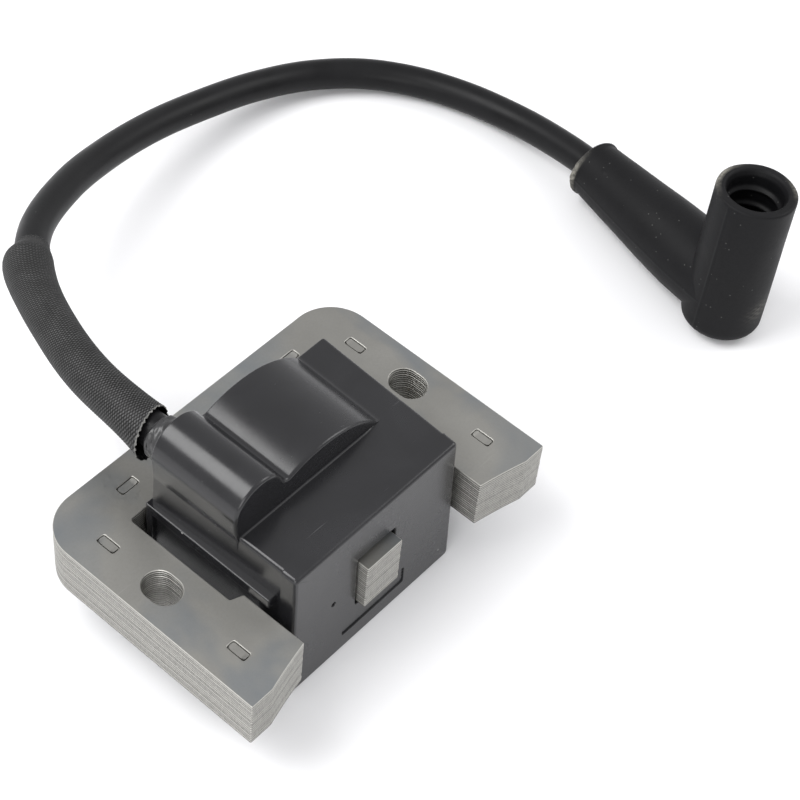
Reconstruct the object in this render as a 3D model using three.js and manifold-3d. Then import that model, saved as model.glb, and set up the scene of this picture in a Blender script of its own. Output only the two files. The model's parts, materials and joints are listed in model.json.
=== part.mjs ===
// Ignition coil of a small engine: an E-shaped laminated armature, a potted coil housing with
// its high-tension tower, and a high-tension lead that ends in a right-angle plug boot.
//
// Millimetres, +Z up. The coil stands on its housing's open rim at Z = 0, and X = Y = 0 is the
// middle of the armature. The three legs of the armature point towards -Y, where the flywheel
// runs; its yoke is at +Y, and the lead leaves the tower towards +Y.

import * as THREE from 'three';
import { mergeVertices } from 'three/addons/utils/BufferGeometryUtils.js';
import Module from 'manifold-3d';

const wasm = await Module();
wasm.setup();

// ---------------------------------------------------------------- driving dimensions

const ARMATURE = {
  halfWidth: 40,
  yokeBack: 27.6,
  legTip: -27.6,
  yokeFront: 15.8,
  centreTip: -22.8, // the centre leg's pole face
  centreHalf: 4.7,
  legInner: 24.2, // inner edge of an outer leg at its tip
  notchInner: 26.8, // inner edge beside the coil
  notchFront: -9.4,
  notchRun: 1.0, // the step between the two runs back over this length
  cornerRadius: 9,
  poleRadius: 129, // the flywheel's radius and the air gap
  bottom: 11.4,
  sheet: 0.6,
  sheets: 20,
};
ARMATURE.top = ARMATURE.bottom + ARMATURE.sheet * ARMATURE.sheets;
ARMATURE.middle = (ARMATURE.bottom + ARMATURE.top) / 2;

const FAR = 60; // past every surface of the coil, for tools that cut right through
const SLOT = { x: 33.3, y: 1.0, width: 6.4, length: 8.1 };
const INTERLOCK = { length: 4.3, width: 2.0, depth: 0.3 };
const INTERLOCKS = [
  { x: 33.3, y: 14.7, along: 'y' },
  { x: 33.3, y: -17.9, along: 'y' },
  { x: 21.7, y: 21.7, along: 'x' },
];

const HOUSING = {
  top: 34.5,
  draft: 0.031, // how far the front and back lean out per millimetre of depth below the top
  sideDraft: 0.017, // and the side walls
  backDraft: 0.03, // growth of walls, roof and hump per millimetre from the front edge back
  halfTop: 21.8, // at the front edge
  frontTop: -20.3,
  backTop: 14.0,
  wall: 2.0,
  plateStep: 0.22, // how far the side walls stand back from the front plate
  plateDepth: 3.6,
};
const HUMP = { x: -0.95, z: 20.6, radius: 20.9, front: -6.8, leftEnd: 118, footDrop: 1 };
const TOWER = {
  x: -16.8,
  z: 39.8,
  radius: 6.2,
  front: -6.8,
  footDrop: 1.1, // the web starts this far below the housing's top
  waist: 0.4, // and narrows by this much
  waistRise: 2.2, // at this height above its foot
  boreZ: 37.4,
  boreRadius: 3.9,
  boreEnd: 2.6,
};
const LIP = {
  outer: 23.7,
  root: 0.6, // how deep it reaches into the wall's top
  bottom: 23.9,
  top: 26.3,
  front: -15.9,
  back: 15.0,
  ribDepth: 1.5,
  ribBottom: 8,
};
const TUNNEL = { gap: 0.5, headroom: 0.8 }; // the opening round the armature's centre leg
const PANEL = { x0: -8.6, x1: 8.7, z0: 4.3, z1: 8.9, depth: 0.3 };
const PIT = { x: -11.4, z: 17.4, half: 0.6, depth: 0.5 };
const RESIN = { bottom: 1.2, gap: 0.1, coreGap: 0.6, coilGap: 0.3 };

// The stop terminal is a tab through the right wall, the earth strap leaves through the back.
const KILL = {
  y: 4,
  z: 6.0,
  width: 6.3,
  thick: 0.8,
  inner: 15.5,
  outer: 31,
  corner: 1.5,
  eyeRadius: 0.9,
  eyeFromEnd: 3.4,
  gap: 0.4,
};
const STRAP = { x: 17.1, z: 27.2, width: 3.4, thick: 0.5, inner: 4, footDrop: 4, gap: 0.3 };

// The coil's rectangular tubes and flanges, as half sizes across and up, on the centre leg.
const COIL = {
  front: -17.6,
  back: 11.6,
  flangeThick: 1.2,
  bays: 3,
  windingGap: 0.15,
  primary: {
    inner: { x: 5.0, z: 6.3, r: 0 },
    tube: { x: 6.0, z: 7.3, r: 0 },
    flange: { x: 9.0, z: 10.3, r: 0 },
    underFlange: 0.4, // the wire stops this far below the flange's edge
  },
  secondary: {
    inner: { x: 9.3, z: 10.6, r: 0 },
    tube: { x: 10.2, z: 11.5, r: 0 },
    flange: { x: 14.6, z: 14.6, r: 5 },
    underFlange: 0.6,
  },
};

// The board and what stands on it. Heights are above the board, x and y are [from, to].
const BOARD = { x: [-9.5, 11.4], y: [-4.2, 11.2], z: 32.7, thick: 1.1, gap: 0.05 };
const CAPACITOR = { x: -4.5, y: 4.5, radius: 1.9, length: 11 };
const COMPONENTS = [
  { name: 'switching_transistor', x: [0, 5.2], y: [-2.6, 3.6], height: 1.85 },
  { name: 'trigger_chip', x: [1, 5], y: [5.6, 9.4], height: 1.5 },
  { name: 'diode', x: [7.2, 9.2], y: [-2, 2.4], height: 1.4 },
  { name: 'resistor', x: [7.2, 9.0], y: [5.4, 8.6], height: 0.65 },
];

// The pin in the tower: a disc, a stem that meets the lead's core, and a post down to the coil.
const PIN = {
  discRadius: 1.9,
  discFront: -3,
  stemRadius: 0.8,
  stemFront: -0.2,
  postFront: -2.4,
  postBack: -0.8,
  bottom: 28,
  footThick: 1.2,
  gap: 0.2,
  room: 1.2, // left round the post in the resin
};

const LEAD = { radius: 3.5, bore: 1.3, core: 1.05, sides: 12, coreSides: 8, steps: 34 };
const SEAL = {
  inner: 3.85,
  outerAtTower: 5.0,
  outerAtEnd: 4.5,
  gap: 0.3,
  length: 4.0,
  foot: 0.8, // straight part against the tower
  rounding: 0.5,
};
const SLEEVE = { inner: 4.15, outer: 4.6, start: 16.8, end: 77, steps: 7 };

// The boot's elbow is where its barrel and its arm cross. The arm lies on the surface along
// its tapered underside, so it dips towards its collar, and the barrel leans to one side.
const BOOT = {
  elbow: new THREE.Vector3(110.8, -23.2, 9.4),
  heading: 12.3, // degrees from +Y towards +X
  dip: 2.4,
  lean: 4.6,
  armLength: 44.8,
  mouth: 27.5,
  base: -8.8,
  barrelRadius: 8.7,
  boreRadius: 6.07,
  boreFloor: -2.5,
  ribs: [8.6, 4.6], // the bore's two inner ribs, as depths below the mouth
  ribHeight: 0.7,
  ribHalf: 0.8,
  socketRadius: 3.8,
  leadStop: 10,
};
// The arm's outside as [radius, distance from the elbow].
const ARM_TAPER = [[8.7, 0], [8.8, 13], [8.3, 22], [7.5, 31], [6.75, 40], [6.5, 44.5]];
const CLIP = { radius: 3.3, sheet: 0.5, opening: 50, bottom: -1.2, top: 7.5, tongueHalf: 1.5 };

// The lead's route from inside the tower, down to the surface and into the boot's arm. The
// last two points are on the arm's axis and are worked out from the boot's place.
const ROUTE = [
  [TOWER.x, 3.0, TOWER.boreZ],
  [TOWER.x, 14.0, TOWER.boreZ],
  [TOWER.x, 25.0, TOWER.boreZ],
  [-15.6, 37.0, 36.7],
  [-11.5, 50.2, 34.5],
  [-4.5, 64.5, 31.0],
  [8.0, 78.4, 26.5],
  [24.0, 86.8, 21.8],
  [40.0, 91.6, 17.0],
  [56.0, 93.8, 12.9],
  [71.0, 93.6, 9.5],
  [85.5, 91.6, 6.8],
  [98.6, 87.1, 4.8],
  [109.0, 79.2, 4.0],
  [116.0, 69.3, 3.7],
  [120.5, 57.5, 3.8],
  [122.4, 45.0, 4.5],
  [122.2, 34.0, 5.8],
];

// ---------------------------------------------------------------- materials

function material(color, roughness, metalness) {
  return new THREE.MeshStandardMaterial({ color, roughness, metalness });
}

const steel = material(0x96938c, 0.5, 0.9);
const mouldedBlack = material(0x232327, 0.3, 0);
const resinBlack = material(0x1b1b1e, 0.45, 0);
const bobbinPlastic = material(0xd8d2c0, 0.5, 0);
const copper = material(0xb0622c, 0.35, 0.9);
const brass = material(0xc9a24a, 0.35, 0.9);
const boardGreen = material(0x2c5a38, 0.5, 0);
const filmYellow = material(0xc8a23c, 0.4, 0);
const partBlack = material(0x141414, 0.4, 0);
const tinned = material(0xbfc1c3, 0.35, 0.9);
const leadRubber = material(0x2a2a2b, 0.55, 0);
const braid = material(0x3a3a3a, 0.8, 0);
const bootRubber = material(0x262626, 0.75, 0);
const sealant = material(0x4a4848, 0.35, 0);

// ---------------------------------------------------------------- shape helpers

const degrees = Math.PI / 180;

/** A closed geometry as a manifold solid. */
function solid(geometry) {
  const bare = geometry.index ? geometry.toNonIndexed() : geometry.clone();
  bare.deleteAttribute('normal');
  bare.deleteAttribute('uv');
  const merged = mergeVertices(bare, 1e-5);
  return new wasm.Manifold(new wasm.Mesh({
    numProp: 3,
    vertProperties: new Float32Array(merged.attributes.position.array),
    triVerts: new Uint32Array(merged.index.array),
  }));
}

/** A manifold solid as a three.js geometry. */
function geometryOf(body) {
  const mesh = body.getMesh();
  const positions = new Float32Array(mesh.vertProperties);
  const corners = new Uint32Array(mesh.triVerts);
  const geometry = new THREE.BufferGeometry();
  geometry.setAttribute('position', new THREE.BufferAttribute(positions, 3));
  geometry.setIndex(new THREE.BufferAttribute(corners, 1));
  return geometry;
}

const join = (...bodies) => bodies.reduce((whole, body) => whole.add(body));
const cut = (body, ...tools) => tools.reduce((whole, tool) => whole.subtract(tool), body);

function box(x0, x1, y0, y1, z0, z1) {
  const geometry = new THREE.BoxGeometry(x1 - x0, y1 - y0, z1 - z0);
  return geometry.translate((x0 + x1) / 2, (y0 + y1) / 2, (z0 + z1) / 2);
}

const block = (...corners) => solid(box(...corners));

/** A shape drawn in X and Y, raised from z0 to z1. */
function raised(shape, z0, z1, curveSegments = 8) {
  const options = { depth: z1 - z0, bevelEnabled: false, curveSegments };
  return new THREE.ExtrudeGeometry(shape, options).translate(0, 0, z0);
}

/** A shape drawn in X and Z, running from y0 to y1. */
function alongY(shape, y0, y1, curveSegments = 8) {
  const options = { depth: y1 - y0, bevelEnabled: false, curveSegments };
  return new THREE.ExtrudeGeometry(shape, options).rotateX(Math.PI / 2).translate(0, y1, 0);
}

/** A profile of [radius, distance] pairs turned about the Y axis. */
function turned(profile, sides) {
  const points = profile.map(([radius, distance]) => new THREE.Vector2(radius, distance));
  return new THREE.LatheGeometry(points, sides);
}

function rectangle(path, x0, x1, y0, y1) {
  path.moveTo(x0, y0);
  path.lineTo(x1, y0);
  path.lineTo(x1, y1);
  path.lineTo(x0, y1);
  path.closePath();
  return path;
}

/** A rectangle about a centre with round corners. */
function roundedRectangle(path, cx, cy, halfX, halfY, r) {
  if (r === 0) {
    return rectangle(path, cx - halfX, cx + halfX, cy - halfY, cy + halfY);
  }
  path.moveTo(cx - halfX + r, cy - halfY);
  path.lineTo(cx + halfX - r, cy - halfY);
  path.absarc(cx + halfX - r, cy - halfY + r, r, -90 * degrees, 0, false);
  path.lineTo(cx + halfX, cy + halfY - r);
  path.absarc(cx + halfX - r, cy + halfY - r, r, 0, 90 * degrees, false);
  path.lineTo(cx - halfX + r, cy + halfY);
  path.absarc(cx - halfX + r, cy + halfY - r, r, 90 * degrees, 180 * degrees, false);
  path.lineTo(cx - halfX, cy - halfY + r);
  path.absarc(cx - halfX + r, cy - halfY + r, r, 180 * degrees, 270 * degrees, false);
  return path;
}

/** A frame between two rounded rectangles about the core's axis, running along Y. */
function sleeveAlongY(outer, inner, y0, y1) {
  const z = ARMATURE.middle;
  const shape = roundedRectangle(new THREE.Shape(), 0, z, outer.x, outer.z, outer.r);
  shape.holes.push(roundedRectangle(new THREE.Path(), 0, z, inner.x, inner.z, inner.r));
  return alongY(shape, y0, y1, 2);
}

// ---------------------------------------------------------------- armature

/** The hollow pole face of the right leg as [x, y] pairs, from its inner corner outwards. */
function poleFace() {
  const { legInner, legTip, centreTip, poleRadius } = ARMATURE;
  const axis = centreTip - poleRadius;
  const lastX = Math.sqrt(poleRadius ** 2 - (legTip - axis) ** 2);
  const steps = 3;
  const points = [];
  for (let i = 0; i <= steps; i += 1) {
    const x = legInner + (lastX - legInner) * (i / steps);
    points.push([x, axis + Math.sqrt(poleRadius ** 2 - x ** 2)]);
  }
  return points;
}

/** The outline of one lamination: an E with round back corners and hollow pole faces. */
function laminationShape() {
  const a = ARMATURE;
  const r = a.cornerRadius;
  const shape = new THREE.Shape();
  shape.moveTo(-a.centreHalf, a.centreTip);
  shape.lineTo(a.centreHalf, a.centreTip);
  shape.lineTo(a.centreHalf, a.yokeFront);
  shape.lineTo(a.notchInner, a.yokeFront);
  shape.lineTo(a.notchInner, a.notchFront);
  shape.lineTo(a.legInner, a.notchFront - a.notchRun);
  for (const [x, y] of poleFace()) {
    shape.lineTo(x, y);
  }
  shape.lineTo(a.halfWidth, a.legTip);
  shape.lineTo(a.halfWidth, a.yokeBack - r);
  shape.absarc(a.halfWidth - r, a.yokeBack - r, r, 0, 90 * degrees, false);
  shape.lineTo(-a.halfWidth + r, a.yokeBack);
  shape.absarc(-a.halfWidth + r, a.yokeBack - r, r, 90 * degrees, 180 * degrees, false);
  shape.lineTo(-a.halfWidth, a.legTip);
  for (const [x, y] of poleFace().reverse()) {
    shape.lineTo(-x, y);
  }
  shape.lineTo(-a.legInner, a.notchFront - a.notchRun);
  shape.lineTo(-a.notchInner, a.notchFront);
  shape.lineTo(-a.notchInner, a.yokeFront);
  shape.lineTo(-a.centreHalf, a.yokeFront);
  shape.closePath();
  for (const side of [-1, 1]) {
    const hole = new THREE.Path();
    const r = SLOT.width / 2;
    const run = (SLOT.length - SLOT.width) / 2;
    hole.absarc(side * SLOT.x, SLOT.y + run, r, 0, 180 * degrees, false);
    hole.absarc(side * SLOT.x, SLOT.y - run, r, 180 * degrees, 360 * degrees, false);
    shape.holes.push(hole);
  }
  return shape;
}

/** The six pressed interlocks of a sheet as solids from z0 to z1. */
function interlockTools(z0, z1) {
  const tools = [];
  for (const { x, y, along } of INTERLOCKS) {
    const halfX = (along === 'x' ? INTERLOCK.length : INTERLOCK.width) / 2;
    const halfY = (along === 'x' ? INTERLOCK.width : INTERLOCK.length) / 2;
    for (const side of [-1, 1]) {
      tools.push(block(side * x - halfX, side * x + halfX, y - halfY, y + halfY, z0, z1));
    }
  }
  return tools;
}

/** The sheets from the bottom up. The top one shows its pressed dents, the bottom one windows. */
function laminations() {
  const shape = laminationShape();
  const meshes = [];
  for (let i = 0; i < ARMATURE.sheets; i += 1) {
    const z0 = ARMATURE.bottom + i * ARMATURE.sheet;
    const z1 = z0 + ARMATURE.sheet;
    let geometry = raised(shape, z0, z1, 4);
    if (i === ARMATURE.sheets - 1) {
      const dents = interlockTools(z1 - INTERLOCK.depth, FAR);
      geometry = geometryOf(cut(solid(geometry), ...dents));
    }
    if (i === 0) {
      const windows = interlockTools(-FAR, FAR);
      geometry = geometryOf(cut(solid(geometry), ...windows));
    }
    meshes.push(part(`lamination_${String(i + 1).padStart(2, '0')}`, geometry, steel));
  }
  return meshes;
}

// ---------------------------------------------------------------- housing and resin

const draftAt = (z) => (HOUSING.top - z) * HOUSING.draft;
const frontAt = (z) => HOUSING.frontTop - draftAt(z);

const grownAt = (y) => (y - HOUSING.frontTop) * HOUSING.backDraft;

/** A block whose walls and roof follow the mould's drafts, inset by some distance. */
function draftedBlock(inset, z0, z1, sideInset = inset) {
  const geometry = box(-1, 1, -1, 1, z0, z1);
  const position = geometry.attributes.position;
  for (let i = 0; i < position.count; i += 1) {
    const z = position.getZ(i);
    const front = frontAt(z) + inset;
    const back = HOUSING.backTop + draftAt(z) - inset;
    const y = position.getY(i) < 0 ? front : back;
    const side = HOUSING.halfTop + (HOUSING.top - z) * HOUSING.sideDraft + grownAt(y) - sideInset;
    position.setXYZ(i, Math.sign(position.getX(i)) * side, y, z === z1 ? z + grownAt(y) : z);
  }
  return geometry;
}

/** The arch's section run along Y, widening about the arch's centre by the draft. */
function draftedArch(inset, footZ, front, back) {
  const geometry = alongY(humpShape(inset, footZ), front, back, 14);
  const position = geometry.attributes.position;
  for (let i = 0; i < position.count; i += 1) {
    const y = position.getY(i);
    const scale = 1 + grownAt(y) / HUMP.radius;
    const x = HUMP.x + (position.getX(i) - HUMP.x) * scale;
    position.setXYZ(i, x, y, HUMP.z + (position.getZ(i) - HUMP.z) * scale);
  }
  return geometry;
}

/** The section of the arch over the coil, from its foot up, shrunk by an inset. */
function humpShape(inset, footZ) {
  const r = HUMP.radius - inset;
  const right = Math.asin((footZ - HUMP.z) / r);
  const left = HUMP.leftEnd * degrees;
  const shape = new THREE.Shape();
  shape.moveTo(HUMP.x + r * Math.cos(left), footZ);
  shape.lineTo(HUMP.x + r * Math.cos(right), footZ);
  shape.absarc(HUMP.x, HUMP.z, r, right, left, false);
  shape.closePath();
  return shape;
}

/** The section of the tower: a round head on a web that widens a little upwards. */
function towerShape() {
  const { x, z, radius, footDrop, waist, waistRise } = TOWER;
  const foot = HOUSING.top - footDrop;
  const shape = new THREE.Shape();
  shape.moveTo(-HOUSING.halfTop, foot);
  shape.lineTo(x + radius, foot);
  shape.lineTo(x + radius, z);
  shape.absarc(x, z, radius, 0, 180 * degrees, false);
  shape.lineTo(x - radius + waist, foot + waistRise);
  shape.closePath();
  return shape;
}

/** The outside of the housing: drafted block, front plate, arch, tower and side lips. */
function housingOutside() {
  const body = solid(draftedBlock(0, 0, HOUSING.top, HOUSING.plateStep));
  const behindPlate = block(-FAR, FAR, HOUSING.frontTop + HOUSING.plateDepth, FAR, -FAR, FAR);
  const plate = cut(solid(draftedBlock(0, 0, HOUSING.top)), behindPlate);
  const foot = HOUSING.top - HUMP.footDrop;
  const hump = solid(draftedArch(0, foot, HUMP.front, HOUSING.backTop));
  const tower = solid(alongY(towerShape(), TOWER.front, HOUSING.backTop, 12));
  const lips = [-1, 1].flatMap((side) => {
    const edges = [side * (HOUSING.halfTop - LIP.root), side * LIP.outer];
    const [x0, x1] = [Math.min(...edges), Math.max(...edges)];
    return [
      block(x0, x1, LIP.front, LIP.back, LIP.bottom, LIP.top),
      block(x0, x1, LIP.back - LIP.ribDepth, LIP.back, LIP.ribBottom, LIP.top),
    ];
  });
  return join(body, plate, hump, tower, ...lips);
}

/** The room that the armature's centre leg takes, right through from front to back. */
function legRoom(gap) {
  const { centreHalf, bottom, top } = ARMATURE;
  const half = centreHalf + gap;
  return block(-half, half, -FAR, FAR, bottom - gap, top + gap + TUNNEL.headroom);
}

/** The room that the stop terminal or the earth strap takes, from its inner end outwards. */
function killRoom(gap) {
  const halfWidth = KILL.width / 2 + gap;
  const halfThick = KILL.thick / 2 + gap;
  return block(KILL.inner - 2 * gap, FAR, KILL.y - halfWidth, KILL.y + halfWidth,
    KILL.z - halfThick, KILL.z + halfThick);
}

function strapRoom(gap) {
  const halfWidth = STRAP.width / 2 + gap;
  const halfThick = STRAP.thick / 2 + gap;
  return block(STRAP.x - halfWidth, STRAP.x + halfWidth, STRAP.inner - 2 * gap, FAR,
    STRAP.z - halfThick, STRAP.z + halfThick);
}

function housing() {
  const w = HOUSING.wall;
  const cavity = solid(draftedBlock(w, -1, HOUSING.top - w));
  const archFoot = HOUSING.top - w - 0.5;
  const archCavity = draftedArch(w, archFoot, HUMP.front + w, HOUSING.backTop - w);
  const bore = turned([
    [0, TOWER.boreEnd],
    [TOWER.boreRadius, TOWER.boreEnd],
    [TOWER.boreRadius, FAR],
    [0, FAR],
  ], 20).translate(TOWER.x, 0, TOWER.boreZ);
  const port = PIN.discRadius + 0.6;
  const pinPort = block(TOWER.x - port, TOWER.x + port, PIN.discFront - 0.6, TOWER.boreEnd + 0.2,
    archFoot, TOWER.boreZ + port + 0.5);
  const panelFront = frontAt((PANEL.z0 + PANEL.z1) / 2);
  const panel = block(PANEL.x0, PANEL.x1, -FAR, panelFront + PANEL.depth, PANEL.z0, PANEL.z1);
  const pit = block(PIT.x - PIT.half, PIT.x + PIT.half, -FAR, frontAt(PIT.z) + PIT.depth,
    PIT.z - PIT.half, PIT.z + PIT.half);
  return cut(housingOutside(), cavity, solid(archCavity), legRoom(TUNNEL.gap), solid(bore),
    pinPort, panel, pit, killRoom(KILL.gap), strapRoom(STRAP.gap));
}

/** The space in the cavity that the coil, the terminals and the core take from the resin. */
function embeddedSpace() {
  const { flange } = COIL.secondary;
  const gap = RESIN.coilGap;
  const around = roundedRectangle(new THREE.Shape(), 0, ARMATURE.middle,
    flange.x + gap, flange.z + gap, flange.r);
  const coilRoom = solid(alongY(around, COIL.front - gap, COIL.back + gap, 4));
  const half = (PIN.postBack - PIN.postFront) / 2 + PIN.room;
  const [y0, y1] = [PIN.postFront - PIN.room, PIN.postBack + PIN.room];
  const low = PIN.bottom - PIN.room;
  const post = block(TOWER.x - half, TOWER.x + half, y0, y1, low, FAR);
  const foot = block(TOWER.x - half, 0, y0, y1, low, PIN.bottom + PIN.footThick + PIN.room);
  return join(coilRoom, legRoom(RESIN.coreGap), post, foot, killRoom(KILL.gap),
    strapRoom(STRAP.gap));
}

/** The resin fills the block up to the electronics, which sit above it under the hump. */
function resin() {
  const inset = HOUSING.wall + RESIN.gap;
  return cut(solid(draftedBlock(inset, RESIN.bottom, HOUSING.top - inset)), embeddedSpace());
}

// ---------------------------------------------------------------- coil and electronics

/** A bobbin: a tube with a flange at each end and, for the sectioned one, ribs between its bays. */
function bobbin({ inner, tube, flange }, bays) {
  const pieces = [solid(sleeveAlongY(tube, inner, COIL.front, COIL.back))];
  const pitch = (COIL.back - COIL.front - COIL.flangeThick) / bays;
  for (let i = 0; i <= bays; i += 1) {
    const y0 = COIL.front + i * pitch;
    pieces.push(solid(sleeveAlongY(flange, inner, y0, y0 + COIL.flangeThick)));
  }
  return join(...pieces);
}

/** The wire wound in one bay of a bobbin. */
function winding({ tube, flange, underFlange }, bays, bay) {
  const gap = COIL.windingGap;
  const pitch = (COIL.back - COIL.front - COIL.flangeThick) / bays;
  const y0 = COIL.front + bay * pitch + COIL.flangeThick + gap;
  const y1 = COIL.front + (bay + 1) * pitch - gap;
  const inner = { x: tube.x + gap, z: tube.z + gap, r: 0 };
  const outer = {
    x: flange.x - underFlange,
    z: flange.z - underFlange,
    r: Math.max(flange.r - underFlange, 0),
  };
  return sleeveAlongY(outer, inner, y0, y1);
}

function electronics() {
  const top = BOARD.z + BOARD.thick;
  const rest = top + BOARD.gap;
  const { radius, length } = CAPACITOR;
  const capacitor = new THREE.CylinderGeometry(radius, radius, length, 16)
    .translate(CAPACITOR.x, CAPACITOR.y, rest + radius);
  const blocks = COMPONENTS.map(({ name, x, y, height }) => (
    part(name, box(...x, ...y, rest, top + height), partBlack)
  ));
  return [
    part('circuit_board', box(...BOARD.x, ...BOARD.y, BOARD.z, top), boardGreen),
    part('capacitor', capacitor, filmYellow),
    ...blocks,
  ];
}

/** The brass pin in the tower with its post down to the secondary winding's live end. */
function towerTerminal() {
  const { discRadius, discFront, stemRadius, stemFront, postFront, postBack, bottom } = PIN;
  const stemEnd = TOWER.boreEnd - PIN.gap;
  const pin = turned([
    [0, discFront],
    [discRadius, discFront],
    [discRadius, stemFront],
    [stemRadius, stemFront],
    [stemRadius, stemEnd],
    [0, stemEnd],
  ], 12).translate(TOWER.x, 0, TOWER.boreZ);
  const half = (postBack - postFront) / 2;
  const post = block(TOWER.x - half, TOWER.x + half, postFront, postBack, bottom, TOWER.boreZ);
  const foot = block(TOWER.x - half, -COIL.secondary.flange.x - 2 * PIN.gap, postFront, postBack,
    bottom, bottom + PIN.footThick);
  return join(solid(pin), post, foot);
}

/** The stop terminal: a flat push-on tab with chamfered corners and an eye. */
function killTerminal() {
  const { y, z, width, thick, inner, outer, corner, eyeRadius, eyeFromEnd } = KILL;
  const [low, high] = [y - width / 2, y + width / 2];
  const shape = new THREE.Shape();
  shape.moveTo(inner, low);
  shape.lineTo(outer - corner, low);
  shape.lineTo(outer, low + corner);
  shape.lineTo(outer, high - corner);
  shape.lineTo(outer - corner, high);
  shape.lineTo(inner, high);
  shape.closePath();
  const eye = new THREE.Path();
  eye.absarc(outer - eyeFromEnd, y, eyeRadius, 0, 360 * degrees, false);
  shape.holes.push(eye);
  return raised(shape, z - thick / 2, z + thick / 2, 6);
}

/** The strip that earths the coil: out through the back wall, then down onto the yoke's edge. */
function earthStrap() {
  const { x, z, width, thick, inner, footDrop, gap } = STRAP;
  const [x0, x1] = [x - width / 2, x + width / 2];
  const contact = ARMATURE.yokeFront - gap;
  const strip = block(x0, x1, inner, contact, z - thick / 2, z + thick / 2);
  const foot = block(x0, x1, contact - thick, contact, ARMATURE.top - footDrop, z);
  return join(strip, foot);
}

// ---------------------------------------------------------------- lead

/** The boot's frame: its elbow, the arm along +X and the barrel along +Z. */
function bootPlace() {
  const heading = BOOT.heading * degrees;
  const dip = BOOT.dip * degrees;
  const along = new THREE.Vector3(Math.sin(heading), Math.cos(heading), 0);
  const up = new THREE.Vector3(0, 0, 1);
  const arm = along.clone().multiplyScalar(Math.cos(dip)).addScaledVector(up, -Math.sin(dip));
  const upright = along.multiplyScalar(Math.sin(dip)).addScaledVector(up, Math.cos(dip));
  const barrel = upright.applyAxisAngle(arm, BOOT.lean * degrees);
  const side = new THREE.Vector3().crossVectors(barrel, arm);
  return new THREE.Matrix4().makeBasis(arm, side, barrel).setPosition(BOOT.elbow);
}

const BOOT_PLACE = bootPlace();
const onArm = (distance) => new THREE.Vector3(distance, 0, 0).applyMatrix4(BOOT_PLACE);

const route = new THREE.CatmullRomCurve3([
  ...ROUTE.map(([x, y, z]) => new THREE.Vector3(x, y, z)),
  onArm(BOOT.armLength),
  onArm((BOOT.armLength + BOOT.leadStop) / 2),
  onArm(BOOT.leadStop),
], false, 'centripetal');

/** A regular polygon, or the ring between two of them. */
function ring(outer, inner, sides) {
  const polygon = (path, r) => {
    for (let i = 0; i < sides; i += 1) {
      const angle = (i / sides) * 2 * Math.PI;
      path[i === 0 ? 'moveTo' : 'lineTo'](r * Math.cos(angle), r * Math.sin(angle));
    }
    path.closePath();
    return path;
  };
  const shape = polygon(new THREE.Shape(), outer);
  if (inner > 0) {
    shape.holes.push(polygon(new THREE.Path(), inner));
  }
  return shape;
}

function swept(shape, curve, steps) {
  return new THREE.ExtrudeGeometry(shape, { extrudePath: curve, steps });
}

/** The stretch of the route between two distances from its start. */
function stretch(from, to, count) {
  const whole = route.getLength();
  const points = [];
  for (let i = 0; i <= count; i += 1) {
    points.push(route.getPointAt((from + (to - from) * (i / count)) / whole));
  }
  return new THREE.CatmullRomCurve3(points, false, 'centripetal');
}

/** The sealant collar round the lead where it enters the tower, tapering along the lead. */
function leadSeal() {
  const { inner, outerAtTower, outerAtEnd, foot, rounding } = SEAL;
  const y0 = HOUSING.backTop + SEAL.gap;
  const y1 = y0 + SEAL.length;
  return turned([
    [inner, y0],
    [outerAtTower, y0],
    [outerAtTower, y0 + foot],
    [outerAtEnd, y1 - rounding],
    [outerAtEnd - rounding, y1],
    [inner, y1],
    [inner, y0],
  ], 20).translate(TOWER.x, 0, TOWER.boreZ);
}

// ---------------------------------------------------------------- boot

/** In the boot's frame: a profile turned about its barrel, and one turned about its arm. */
const turnedUp = (profile, sides) => turned(profile, sides).rotateX(90 * degrees);
const turnedOut = (profile, sides) => turned(profile, sides).rotateZ(-90 * degrees);

/** The bore's two inner ribs as [radius, height] pairs from the lower one up. */
function boreRibs() {
  const { mouth, boreRadius, ribs, ribHeight, ribHalf } = BOOT;
  return ribs.flatMap((depth) => [
    [boreRadius, mouth - depth - ribHalf],
    [boreRadius - ribHeight, mouth - depth],
    [boreRadius, mouth - depth + ribHalf],
  ]);
}

function plugBoot() {
  const { base, mouth, barrelRadius, boreRadius, boreFloor, socketRadius, armLength } = BOOT;
  const barrel = turnedUp([
    [0, base],
    [barrelRadius - 2.6, base],
    [barrelRadius - 0.9, base + 0.8],
    [barrelRadius, base + 2.8],
    [barrelRadius - 0.1, mouth - 0.8],
    [barrelRadius - 0.8, mouth],
    [0, mouth],
  ], 28);
  const [collarRadius] = ARM_TAPER.at(-1);
  const arm = turnedOut([
    [0, 0],
    ...ARM_TAPER,
    [collarRadius - 0.2, armLength],
    [0, armLength],
  ], 24);
  const bore = turnedUp([
    [0, boreFloor],
    [boreRadius, boreFloor],
    ...boreRibs(),
    [boreRadius, FAR],
    [0, FAR],
  ], 24);
  const socket = turnedOut([
    [0, 0],
    [socketRadius, 0],
    [socketRadius, FAR],
    [0, FAR],
  ], 20);
  return cut(join(solid(barrel), solid(arm)), solid(bore), solid(socket));
}

/** The spring clip that grips the plug's terminal, with the tongue that meets the lead's core. */
function plugClip() {
  const { radius, sheet, bottom, top, tongueHalf } = CLIP;
  const end = Math.PI - (CLIP.opening / 2) * degrees;
  const shape = new THREE.Shape();
  shape.absarc(0, 0, radius + sheet, -end, end, false);
  shape.absarc(0, 0, radius, end, -end, true);
  const grip = solid(raised(shape, bottom, top, 9));
  const tongueEnd = BOOT.leadStop - 0.4;
  const tongue = block(radius + 0.1, tongueEnd, -tongueHalf, tongueHalf, -0.3, 0.3);
  return join(grip, tongue);
}

// ---------------------------------------------------------------- assembly

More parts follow.
